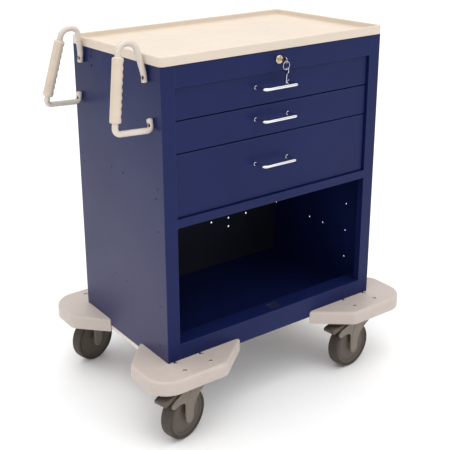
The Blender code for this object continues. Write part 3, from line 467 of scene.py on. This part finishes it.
def sweep(bm, path, radius, sides=20, up=Vector((0, 1, 0)), dome=True):
    """A rod along a path, with domed ends."""
    points = [Vector(p) for p in path]
    rings = []
    for i, point in enumerate(points):
        ahead = points[min(i + 1, len(points) - 1)] - point
        behind = point - points[max(i - 1, 0)]
        along = (ahead.normalized() + behind.normalized()).normalized()
        across = along.cross(up).normalized()
        other = across.cross(along).normalized()
        turns = [2 * math.pi * step / sides for step in range(sides)]
        rings.append((point, along, [across * math.cos(t) + other * math.sin(t) for t in turns]))
    shells = [[point + side * radius for side in sides_] for point, _, sides_ in rings]
    if dome:
        for end, direction in ((0, -1), (-1, 1)):
            point, along, sides_ = rings[end]
            caps = []
            for turn in (20, 40, 60, 75, 88):
                size = radius * math.cos(math.radians(turn))
                lift = along * direction * radius * 0.45 * math.sin(math.radians(turn))
                caps.append([point + lift + side * size for side in sides_])
            shells = caps[::-1] + shells if end == 0 else shells + caps
    loft(bm, shells)


def bent_path(corners, radii, steps=10):
    """A path in space with each inner corner rounded by an arc."""
    points = [Vector(corners[0])]
    for i in range(1, len(corners) - 1):
        here = Vector(corners[i])
        before = (Vector(corners[i - 1]) - here).normalized()
        after = (Vector(corners[i + 1]) - here).normalized()
        half = before.angle(after) / 2
        radius = radii[i - 1]
        centre = here + (before + after).normalized() * radius / math.sin(half)
        first = here + before * radius / math.tan(half) - centre
        last = here + after * radius / math.tan(half) - centre
        axis, angle = first.rotation_difference(last).to_axis_angle()
        for step in range(steps + 1):
            spot = first.copy()
            spot.rotate(Matrix.Rotation(angle * step / steps, 3, axis))
            points.append(centre + spot)
    points.append(Vector(corners[-1]))
    return points


def axis_matrix(spot, direction):
    """A frame at spot whose Z axis is the direction."""
    return Matrix.Translation(spot) @ Vector(direction).to_track_quat("Z", "Y").to_matrix().to_4x4()


# Cabinet


def sheet_metal():
    for node in ("side_panel_left", "side_panel_right", "back_panel", "top_pan", "lock_rail", "divider_rail"):
        soften(node, 0.0006)
    soften("floor_pan", 0.0006)
    for index in (1, 2, 3):
        soften(f"drawer_{index}_front", 0.0005)
        soften(f"drawer_{index}_box", 0.0004, 1)
    soften("base_frame", 0.0010)
    # The left panel's outward face takes the navy coat with the painted sheen.
    side = bpy.data.objects["side_panel_left_fine"].data
    side.materials.append(SIDE_SHEEN_COAT)
    for face in side.polygons:
        face.material_index = int(face.normal.x < -0.5)
    # The back panel takes the darker coat as painted shade for the shaded inside.
    bpy.data.objects["back_panel_fine"].data.materials[0] = INNER_SHADE_COAT


def tray():
    """Moulded tray: a rolled rim, a filleted recess and a flat floor."""
    low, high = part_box("top_tray")
    corner, rim, deep = 0.013, 0.006, 0.0155
    height = high.z - low.z
    roll, fillet = 0.0026, 0.005

    def ring(inset, z):
        radius = max(corner - inset, 0.004)
        x0, x1 = low.x + inset, high.x - inset
        y0, y1 = low.y + inset, high.y - inset
        outline = rounded([(x0, y0), (x1, y0), (x1, y1), (x0, y1)], [radius] * 4, 10)
        return [(x, y, z) for x, y in outline]

    section = [(0.0012, 0), (0.0003, 0.0004), (0, 0.0014)]
    section += [(roll - roll * math.cos(math.radians(t)), height - roll + roll * math.sin(math.radians(t)))
                for t in range(0, 91, 15)]
    section += [(rim - roll + roll * math.sin(math.radians(t)),
                 height - roll + roll * math.cos(math.radians(t)))
                for t in range(0, 91, 15)]
    base = height - deep
    section += [(rim + fillet - fillet * math.cos(math.radians(t)),
                 base + fillet - fillet * math.sin(math.radians(t)))
                for t in range(0, 91, 15)]
    section += [(rim + 0.03, base), (rim + 0.10, base)]
    bm = bmesh.new()
    loft(bm, [ring(inset, low.z + z) for inset, z in section])
    return stand_in(piece("top_tray_fine", bm, FINISHES["tray_plastic"], 40), "top_tray")


def drawer_pull(index):
    """Bent rod with a small collar at each foot."""
    low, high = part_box(f"drawer_{index}_pull")
    radius = (high.z - low.z) / 2
    height = (low.z + high.z) / 2
    left, right = low.x + radius, high.x - radius
    start, out = high.y, low.y + radius
    corners = [(left, start, height), (left, out, height), (right, out, height), (right, start, height)]
    bm = bmesh.new()
    sweep(bm, bent_path(corners, [0.009, 0.009]), radius, 24, Vector((0, 0, 1)), False)
    for x in (left, right):
        collar = [(0, 0), (0.0046, 0), (0.0046, 0.0005), (0.0040, 0.0010), (0.0034, 0.0012), (0, 0.0012)]
        turned(bm, collar, axis_matrix((x, start, height), (0, -1, 0)), 32)
    return stand_in(piece(f"drawer_{index}_pull_fine", bm, FINISHES["chrome"], 50), f"drawer_{index}_pull")


# Lock

KEY_PIVOT = Vector(JOINTS["lock_turn"]["pos_m"])
RING_PIVOT = Vector(JOINTS["ring_swing"]["pos_m"])


def lock_cylinder():
    low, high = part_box("lock_cylinder")
    outer = (high.x - low.x) / 2
    bore = 0.0058
    profile = [(bore, 0.0006), (bore + 0.0006, 0), (outer - 0.0024, 0), (outer - 0.0012, 0.0004),
               (outer - 0.0003, 0.0013)]
    profile += [(outer, 0.0024), (outer, FRONT - GAP - low.y), (0.008, FRONT - GAP - low.y),
                (0.008, high.y - low.y)]
    profile += [(bore, high.y - low.y)]
    bm = bmesh.new()
    turned(bm, profile, axis_matrix((KEY_PIVOT.x, low.y, KEY_PIVOT.z), (0, 1, 0)), 64)
    return stand_in(piece("lock_cylinder_fine", bm, NICKEL, 40), "lock_cylinder")


def key_shape(bm, start, length, thick, bow=0.0085, blade=0.0026, bits=True):
    """A flat key along +Y from its bow's outer end, in the plane x = 0.

    Its cuts are along the blade's lower edge.
    """
    head = arc((bow, 0), bow, 160, 18, 20)
    tail = arc((bow, 0), bow, -18, -160, 20)
    shoulder = 2 * bow + 0.0008
    lower = [(length - 0.002, -blade * 0.4), (length - 0.0035, -blade)]
    if bits:
        for step in range(4):
            at = length - 0.007 - 0.0042 * step
            depth = blade * (0.45, 0.1, 0.6, 0.25)[step]
            lower += [(at, -blade), (at - 0.0010, -blade + depth), (at - 0.0020, -blade + depth),
                      (at - 0.0030, -blade)]
    outline = head + [(shoulder, blade), (length - 0.0015, blade),
                      (length, 0.0004)] + lower + [(shoulder, -blade)] + tail
    prism(bm, [(start + y, z) for y, z in outline], "X", -thick, thick)


def keys_and_ring():
    """The key in the lock, the ring through its bow, and a second key that hangs from the ring."""
    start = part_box("key")[0].y
    bm = bmesh.new()
    key_shape(bm, start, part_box("key")[1].y - start, 0.0010, bits=False)
    bmesh.ops.translate(bm, verts=bm.verts, vec=(KEY_PIVOT.x, 0, KEY_PIVOT.z))
    key = piece("key_fine", bm, NICKEL, 30)
    hole = bmesh.new()
    turned(hole, [(0, -0.01), (0.0022, -0.01), (0.0022, 0.01), (0, 0.01)],
           axis_matrix((KEY_PIVOT.x, RING_PIVOT.y, KEY_PIVOT.z), (1, 0, 0)), 32)
    combine(key, hole, "DIFFERENCE")
    round_edges(key, 0.0003, 2, 50)
    stand_in(key, "key")

    low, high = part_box("key_ring")
    wire = (high.y - low.y) / 2
    radius = (high.x - low.x) / 2 - wire
    centre = Vector((RING_PIVOT.x, RING_PIVOT.y, (low.z + high.z) / 2))
    bm = bmesh.new()
    profile = [(radius + wire * math.cos(t),
                wire * math.sin(t)) for t in [math.pi * step / 6 for step in range(12)]]
    turned(bm, profile, axis_matrix(centre, (0, 1, 0)), 64)
    stand_in(piece("key_ring_fine", bm, FINISHES["chrome"], 60), "key_ring")

    bm = bmesh.new()
    key_shape(bm, 0, 0.040, 0.0009, 0.0075)
    spare = piece("spare_key", bm, FINISHES["chrome"], 30)
    hole = bmesh.new()
    turned(hole, [(0, -0.01), (0.0020, -0.01), (0.0020, 0.01), (0, 0.01)],
           axis_matrix((0, 0.0032, 0), (1, 0, 0)), 32)
    combine(spare, hole, "DIFFERENCE")
    round_edges(spare, 0.0003, 2, 50)
    hang = Matrix.Translation((centre.x + 0.0012, centre.y, centre.z - radius + 0.0019))
    spare.data.transform(hang @ Matrix.Rotation(math.radians(4), 4, "Y") @ Matrix.Rotation(math.radians(-90),
                                                                                           4, "X")
                         @ Matrix.Translation((0, -0.0032, 0)))
    extra(spare, "ring")


def lock_plug():
    low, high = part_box("lock_plug")
    radius = (high.x - low.x) / 2
    deep = high.y - low.y
    profile = [(0, 0), (radius - 0.0007, 0), (radius - 0.0002, 0.0003), (radius, 0.0008)]
    profile += [(radius, deep - 0.003), (0.003, deep - 0.003), (0.003, deep), (0, deep)]
    bm = bmesh.new()
    turned(bm, profile, axis_matrix((KEY_PIVOT.x, low.y, KEY_PIVOT.z), (0, 1, 0)), 48)
    plug = piece("lock_plug_fine", bm, NICKEL, 40)
    slot = bmesh.new()
    outline = [(-0.0013, -0.0029), (0.0013, -0.0029), (0.0013, 0.0029), (-0.0013, 0.0029)]
    placed = [(KEY_PIVOT.x + x, KEY_PIVOT.z + z) for x, z in outline]
    prism(slot, placed, "Y", low.y - 0.01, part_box("key")[1].y + 0.001)
    combine(plug, slot, "DIFFERENCE")
    smooth_again(plug, 40)
    return stand_in(plug, "lock_plug")


# Push handles

HANDLE_TUBE = 0.007
LEAN = math.tan(math.radians(11))
HANDLES = {"front": (0.036, 1), "rear": (0.370, -1)}
SCREW_HEIGHTS = (0.598, 0.701)
LEG_FOOT = (0.098, 0.592)
LEG_HEAD = (0.059, 0.7775)
GRIP_SPAN = (0.615, 0.751)
TUBE_OUT = HANDLE_TUBE + GAP


def handle_point(which, out, height):
    back, lean = HANDLES[which]
    return Vector((LEFT - out, FRONT + back + lean * LEAN * (height - SCREW_HEIGHTS[0]), BASE + height))


def push_handle(which):
    """Bent tube with a flat pocket at each end, where a screw holds it."""
    corners = [(TUBE_OUT, 0.610), (TUBE_OUT, 0.587), LEG_FOOT, LEG_HEAD, (TUBE_OUT + 0.0122, 0.7765)]
    corners += [(TUBE_OUT, 0.713), (TUBE_OUT, 0.692)]
    radii = [0.010, 0.012, 0.022, 0.020, 0.030]
    bm = bmesh.new()
    sweep(bm, bent_path([handle_point(which, *corner) for corner in corners], radii), HANDLE_TUBE, 28)
    tube = piece(f"push_handle_{which}_fine", bm, FINISHES["cream_enamel"], 50)
    for height in SCREW_HEIGHTS:
        spot = handle_point(which, TUBE_OUT, height)
        pocket = bmesh.new()
        turned(pocket, [(0, 0), (0.0052, 0), (0.0066, 0.0035), (0.0066, 0.012), (0, 0.012)],
               axis_matrix(spot + Vector((-0.0018, 0, 0)), (-1, 0, 0)), 40)
        combine(tube, pocket, "DIFFERENCE")
    smooth_again(tube, 40)
    stand_in(tube, f"push_handle_{which}")
    for number, height in enumerate(SCREW_HEIGHTS):
        spot = handle_point(which, TUBE_OUT, height) + Vector((-0.0017, 0, 0))
        bm = bmesh.new()
        head = [(0, 0.0010), (0.0012, 0.0010), (0.0014, 0.0022), (0.0028, 0.0019), (0.0038, 0.0009),
                (0.0040, -0.001), (0, -0.001)]
        turned(bm, head, axis_matrix(spot, (-1, 0, 0)), 32)
        extra(piece(f"handle_screw_{which}_{number + 1}", bm, DARK_STEEL, 40), "cabinet")


def grip(which):
    """Sleeve with long flutes round its outer side and a bead at each end.

    The side facing the cabinet has finger waves.
    """
    foot, head = handle_point(which, *LEG_FOOT), handle_point(which, *LEG_HEAD)
    rise = LEG_HEAD[1] - LEG_FOOT[1]
    low, high = [foot.lerp(head, (height - LEG_FOOT[1]) / rise) for height in GRIP_SPAN]
    along = (high - low).normalized()
    inward = Vector((1, 0, 0))
    inward = (inward - along * inward.dot(along)).normalized()
    across = along.cross(inward)
    length = (high - low).length
    sides, rows, waves, flutes = 72, 120, 9, 9
    rings = []
    for row in range(rows + 1):
        share = row / rows
        edge = min(share, 1 - share) * length
        ring = []
        for step in range(sides):
            turn = 2 * math.pi * step / sides
            radius = 0.0129
            if edge < 0.0045:
                radius -= 0.0042 * (1 - math.sqrt(max(0.0, 1 - (1 - edge / 0.0045) ** 2)))
            body = min(1.0, max(0.0, (edge - 0.006) / 0.004))
            facing = max(0.0, math.cos(turn)) ** 1.5
            wave = 0.5 - 0.5 * math.cos(2 * math.pi * waves * share)
            radius -= 0.0018 * facing * (1 - wave) * body
            away = max(0.0, min(1.0, 0.5 - 1.4 * math.cos(turn)))
            flute = abs(math.sin(flutes * turn / 2 * 1.0)) ** 0.6
            radius -= 0.0009 * (1 - flute) * away * body
            ring.append(low + along * length * share
                        + (inward * math.cos(turn) + across * math.sin(turn)) * radius)
        rings.append(ring)
    bore = HANDLE_TUBE + GAP
    for share in (1.0, 0.0):
        ring = []
        for step in range(sides):
            turn = 2 * math.pi * step / sides
            ring.append(low + along * length * share
                        + (inward * math.cos(turn) + across * math.sin(turn)) * bore)
        rings.append(ring)
    bm = bmesh.new()
    loft(bm, rings, closed=True)
    return stand_in(piece(f"grip_{which}_fine", bm, FINISHES["grip_plastic"], 60), f"grip_{which}")


# Bumpers and casters

BUMPER_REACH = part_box("bumper_front_right")[1].x - RIGHT
BUMPER_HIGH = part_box("bumper_front_left")[1].z
BUMPER_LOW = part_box("bumper_front_left")[0].z
BUMPER_ROUND = 0.007
BOLT_SPAN = (0.074, 0.040)


def bolt_spots(corner):
    x, y, _ = JOINTS[f"{corner}_swivel"]["pos_m"]
    return [(x + sx * BOLT_SPAN[0] / 2, y + sy * BOLT_SPAN[1] / 2) for sx in (-1, 1) for sy in (-1, 1)]


def bumper_outline(inset, inner):
    """A bumper in plan round a corner at the origin: arms along +X and +Y, the outside at -X and -Y."""
    reach = BUMPER_REACH - inset
    end = -0.003
    x_arm, y_arm = 0.212 - inset * 1.6, 0.126 - inset * 1.6
    x_flank, y_flank = 0.118 - inset * 0.5, 0.050 - inset * 0.5
    outline = [(x_arm, inner), (inner, inner), (inner, y_arm), (end, y_arm), (-reach, y_flank),
               (-reach, -reach)]
    outline += [(x_flank, -reach), (x_arm, end)]
    return rounded(outline, [0, 0, 0, 0, 0.030, 0.062 - inset, 0.030, 0], 14)


def bumper(corner):
    """Moulded shell with a broad rolled top edge, open underneath, with four bolt holes."""
    side, end = CORNERS[corner]
    x0 = LEFT if side < 0 else RIGHT
    y0 = FRONT if end < 0 else BACK

    def ring(inset, height, inner=-GAP):
        return [(x0 - side * x, y0 - end * y, height) for x, y in bumper_outline(inset, inner)]

    rings = [ring(0.0012, BUMPER_LOW), ring(0.0003, BUMPER_LOW + 0.0005), ring(0, BUMPER_LOW + 0.0015)]
    for turn in range(0, 91, 10):
        t = math.radians(turn)
        rings.append(ring(BUMPER_ROUND * (1 - math.cos(t)), BUMPER_HIGH - BUMPER_ROUND * (1 - math.sin(t))))
    bm = bmesh.new()
    loft(bm, rings)
    shell = piece(f"bumper_{corner}_fine", bm, FINISHES["bumper_plastic"])
    hollow = bmesh.new()
    loft(hollow, [ring(0.004, BUMPER_LOW - 0.01, 0.004), ring(0.004, BUMPER_HIGH - 0.004, 0.004)])
    combine(shell, hollow, "DIFFERENCE")
    drills = bmesh.new()
    for x, y in bolt_spots(corner):
        turned(drills, [(0, -0.03), (0.0054, -0.03), (0.0054, 0.03), (0, 0.03)],
               Matrix.Translation((x, y, BUMPER_HIGH)), 32)
    combine(shell, drills, "DIFFERENCE")
    smooth_again(shell, 32)
    stand_in(shell, f"bumper_{corner}")
    for number, (x, y) in enumerate(bolt_spots(corner)):
        bm = bmesh.new()
        top = BUMPER_HIGH - 0.0004
        head = [(0, 0), (0.0012, -0.0001), (0.0024, -0.0005), (0.0033, -0.0014), (0.0036, -0.0024),
                (0.0036, -0.016), (0, -0.016)]
        turned(bm, head, Matrix.Translation((x, y, top)), 32)
        extra(piece(f"bolt_{corner}_{number + 1}", bm, ZINC, 40), "cabinet")


def wheel_and_tyre(corner):
    """Dished disc with a stepped rim, and a crowned tyre with a bead ring and a fine groove on each side."""
    joint = JOINTS[f"{corner}_wheel"]
    matrix = axis_matrix(joint["pos_m"], joint["axis"])
    face = 0.0135
    half = [(0.0044, 0.0174), (0.0112, 0.0174), (0.0124, 0.0166), (0.0130, 0.0130), (0.0150, 0.0122),
            (0.0250, 0.0118)]
    half += [(0.0380, 0.0122), (0.0450, 0.0116), (0.0474, 0.0104), (0.0486, 0.0106), (0.0500, 0.0128),
             (0.0512, face)]
    half += [(0.0536, face)]
    bm = bmesh.new()
    turned(bm, half + [(radius, -height) for radius, height in reversed(half)], matrix, 96)
    disc = piece(f"wheel_{corner}_fine", bm, FINISHES["wheel_plastic"], 32)
    stand_in(disc, f"wheel_{corner}")

    wide = 0.016
    half = [(0.0540, 0.0134), (0.0542, 0.0146)] + arc((0.0550, 0.0146), 0.0008, 180, 0, 6)[1:]
    half += [(0.0562, 0.0143), (0.0586, 0.0148), (0.0590, 0.0144), (0.0594, 0.0147)]
    crown = 0.0635
    shoulder = 0.0040
    half += [(crown - 0.0006 - shoulder + shoulder * math.cos(math.radians(t)),
              wide - 0.0006 - shoulder + shoulder * math.sin(math.radians(t)))
             for t in range(80, -1, -16)]
    half += [(crown - 0.0002, 0.0075), (crown, 0.0030)]
    bm = bmesh.new()
    turned(bm, half + [(radius, -height) for radius, height in reversed(half)], matrix, 128)
    tyre = piece(f"tyre_{corner}_fine", bm, FINISHES["tyre_rubber"], 32)
    stand_in(tyre, f"tyre_{corner}")


def swivel_matrix(corner):
    """The caster's own frame: origin on the floor under its swivel, -X towards the trailing wheel."""
    spot = Vector(JOINTS[f"{corner}_swivel"]["pos_m"])
    axis = Vector(JOINTS[f"{corner}_wheel"]["axis"])
    turn = math.atan2(-axis.x, axis.y)
    return Matrix.Translation((spot.x, spot.y, 0)) @ Matrix.Rotation(turn, 4, "Z")


CROWN_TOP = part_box("fork_front_left")[1].z
CROWN_BOTTOM = CROWN_TOP - 0.0105
TRAIL = 0.040
WHEEL_RADIUS = 0.0635
FORK_INSIDE = 0.0180
FORK_OUTSIDE = 0.0230


def remeshed(obj, voxel, rounds):
    """Melts joined solids into one moulded skin with filleted joins."""
    skin = obj.modifiers.new("skin", "REMESH")
    skin.mode = "VOXEL"
    skin.voxel_size = voxel
    soft = obj.modifiers.new("soft", "SMOOTH")
    soft.factor = 0.5
    soft.iterations = rounds
    apply_modifiers(obj)
    return smooth_again(obj, 70)


def fork(corner):
    """Moulded fork: a round crown, a leg each side with a raised spine, and on the braked ones two ears."""
    brake = CORNERS[corner][1] < 0
    matrix = swivel_matrix(corner)
    bm = bmesh.new()
    crown = [(-0.036, CROWN_BOTTOM), (-0.037, CROWN_BOTTOM + 0.004), (-0.026, CROWN_TOP), (0.021, CROWN_TOP)]
    crown += [(0.0305, CROWN_TOP - 0.006), (0.029, CROWN_BOTTOM)]
    prism(bm, crown, "Y", -FORK_OUTSIDE, FORK_OUTSIDE, matrix)
    foot = arc((-TRAIL, WHEEL_RADIUS - 0.0075), 0.0125, 180, 358, 14)
    leg = [(-0.048, CROWN_BOTTOM + 0.005), (-0.0520, 0.104)] + foot
    leg += [(-0.0235, 0.082), (-0.0150, 0.098), (0.000, 0.1115), (0.016, 0.1215),
            (0.0295, CROWN_BOTTOM + 0.001)]
    leg += [(0.0295, CROWN_BOTTOM + 0.005)]
    if brake:
        leg[0] = (-0.030, CROWN_BOTTOM + 0.005)
        leg[1:2] = [(-0.064, 0.1358), (-0.090, 0.1248), (-0.0995, 0.1170), (-0.0992, 0.1090),
                    (-0.092, 0.1050)]
        leg[6:6] = [(-0.075, 0.1080), (-0.060, 0.1065), (-0.0535, 0.099)]
    for side in (-1, 1):
        prism(bm, leg, "Y", side * FORK_INSIDE, side * FORK_OUTSIDE, matrix)
        spine = arc((-TRAIL, WHEEL_RADIUS - 0.0075), 0.0095, 180, 360, 12)
        spine += [(-0.0255, 0.096), (-0.016, CROWN_BOTTOM), (-0.016, CROWN_TOP - 0.003),
                  (-0.034, CROWN_TOP - 0.003), (-0.0480, 0.104)]
        prism(bm, spine, "Y", side * (FORK_OUTSIDE - 0.001), side * (FORK_OUTSIDE + 0.0014), matrix)
    body = piece(f"fork_{corner}_fine", bm, FINISHES["fork_plastic"])
    remeshed(body, 0.0009, 6)
    bore = bmesh.new()
    turned(bore, [(0, -0.05), (0.0065, -0.05), (0.0065, 0.05), (0, 0.05)],
           matrix @ Matrix.Translation((0, 0, CROWN_TOP)), 32)
    combine(body, bore, "DIFFERENCE")
    smooth_again(body, 45)
    return stand_in(body, f"fork_{corner}")


def brake_pedal(corner):
    """Foot lever with a dished tread and ridges, between the fork's ears."""
    matrix = swivel_matrix(corner)
    x, z = -0.0595, 0.1285
    half = FORK_INSIDE - 0.0008
    outline = [(x + 0.006, z - 0.002), (x + 0.006, z + 0.005), (x - 0.002, z + 0.0105),
               (x - 0.016, z + 0.0105)]
    outline += [(x - 0.050, z + 0.0045), (x - 0.0600, z + 0.0005), (x - 0.0605, z - 0.0065),
                (x - 0.056, z - 0.0085)]
    outline += [(x - 0.030, z - 0.0050), (x - 0.010, z - 0.0010), (x - 0.004, z - 0.0035)]
    bm = bmesh.new()
    prism(bm, outline, "Y", -half, half, matrix)
    body = piece(f"brake_pedal_{corner}_fine", bm, FINISHES["wheel_plastic"], 30)
    round_edges(body, 0.0014, 3, 20)
    grooves = bmesh.new()
    for step in range(4):
        at = x - 0.024 - 0.0066 * step
        floor = z + 0.0082 - 0.00118 * step
        outline = [(at, floor), (at + 0.0022, floor), (at + 0.0030, z + 0.03), (at - 0.0008, z + 0.03)]
        prism(grooves, outline, "Y", -half * 0.72, half * 0.72, matrix)
    combine(body, grooves, "DIFFERENCE")
    smooth_again(body, 32)
    return stand_in(body, f"brake_pedal_{corner}")


def casters():
    for corner in CORNERS:
        bumper(corner)
        wheel_and_tyre(corner)
        fork(corner)
        if CORNERS[corner][1] < 0:
            brake_pedal(corner)


# Studio


def floor():
    n = Nodes("floor_look")
    body = n.mix(n.span(n.noise(1.5, 3.0), 0, 1), linear(247, 247, 247), linear(251, 251, 251))
    mat = n.finish(body, n.span(n.noise(8.0, 3.0), 0.8, 0.9))
    bm = bmesh.new()
    size = 30.0
    corners = [(-size, -size), (size, -size), (size, size), (-size, size)]
    bm.faces.new([bm.verts.new((x, y, -0.0003)) for x, y in corners])
    piece("floor", bm, mat)


def area_light(name, spot, target, size, power, colour=(1, 1, 1)):
    data = bpy.data.lights.new(name, "AREA")
    data.shape = "RECTANGLE"
    data.size, data.size_y = size
    data.energy = power
    data.color = colour
    light = bpy.data.objects.new(name, data)
    light.location = spot
    light.rotation_euler = (Vector(target) - Vector(spot)).to_track_quat("-Z", "Y").to_euler()
    bpy.context.scene.collection.objects.link(light)


def studio():
    world = bpy.data.worlds.new("studio")
    world.use_nodes = True
    tree = world.node_tree
    sky = tree.nodes["Background"]
    sky.inputs["Color"].default_value = (1, 1, 1, 1)
    way = tree.nodes.new("ShaderNodeTexCoord")
    split = tree.nodes.new("ShaderNodeSeparateXYZ")
    climb = tree.nodes.new("ShaderNodeMapRange")
    climb.inputs["To Min"].default_value = 0.30
    climb.inputs["To Max"].default_value = 1.75
    tree.links.new(way.outputs["Generated"], split.inputs["Vector"])
    tree.links.new(split.outputs["Z"], climb.inputs["Value"])
    tree.links.new(climb.outputs["Result"], sky.inputs["Strength"])
    bpy.context.scene.world = world
    bpy.context.scene.view_settings.view_transform = "Standard"
    middle = (0, 0, 0.5)
    area_light("overhead", (-0.3, -0.4, 3.2), middle, (2.4, 2.4), 16, (1.0, 0.97, 0.93))
    area_light("front_soft", (1.2, -3.0, 1.8), middle, (1.6, 1.6), 7)
    area_light("side_soft", (-3.0, -0.6, 1.6), middle, (1.4, 1.4), 3)


def camera():
    yaw, pitch, roll = [math.radians(angle) for angle in (CAMERA_YAW, CAMERA_PITCH, CAMERA_ROLL)]
    ahead = Vector((math.sin(yaw) * math.cos(pitch), math.cos(yaw) * math.cos(pitch), -math.sin(pitch)))
    level = ahead.cross(Vector((0, 0, 1))).normalized()
    above = level.cross(ahead)
    right = level * math.cos(roll) + above * math.sin(roll)
    up = above * math.cos(roll) - level * math.sin(roll)
    data = bpy.data.cameras.new("camera")
    data.lens = CAMERA_LENS
    data.sensor_width = 36.0
    data.shift_x, data.shift_y = CAMERA_SHIFT
    view = bpy.data.objects.new("camera", data)
    turn = Matrix((right, up, -ahead)).transposed().to_4x4()
    view.matrix_world = Matrix.Translation(CAMERA_SPOT) @ turn
    bpy.context.scene.collection.objects.link(view)
    bpy.context.scene.camera = view


for name, node in NODES.items():
    node.data.materials.clear()
    node.data.materials.append(FINISHES[SLOT_OF[name]])
sheet_metal()
tray()
for number in (1, 2, 3):
    drawer_pull(number)
lock_cylinder()
lock_plug()
keys_and_ring()
for which in HANDLES:
    push_handle(which)
    grip(which)
casters()
floor()
studio()
camera()
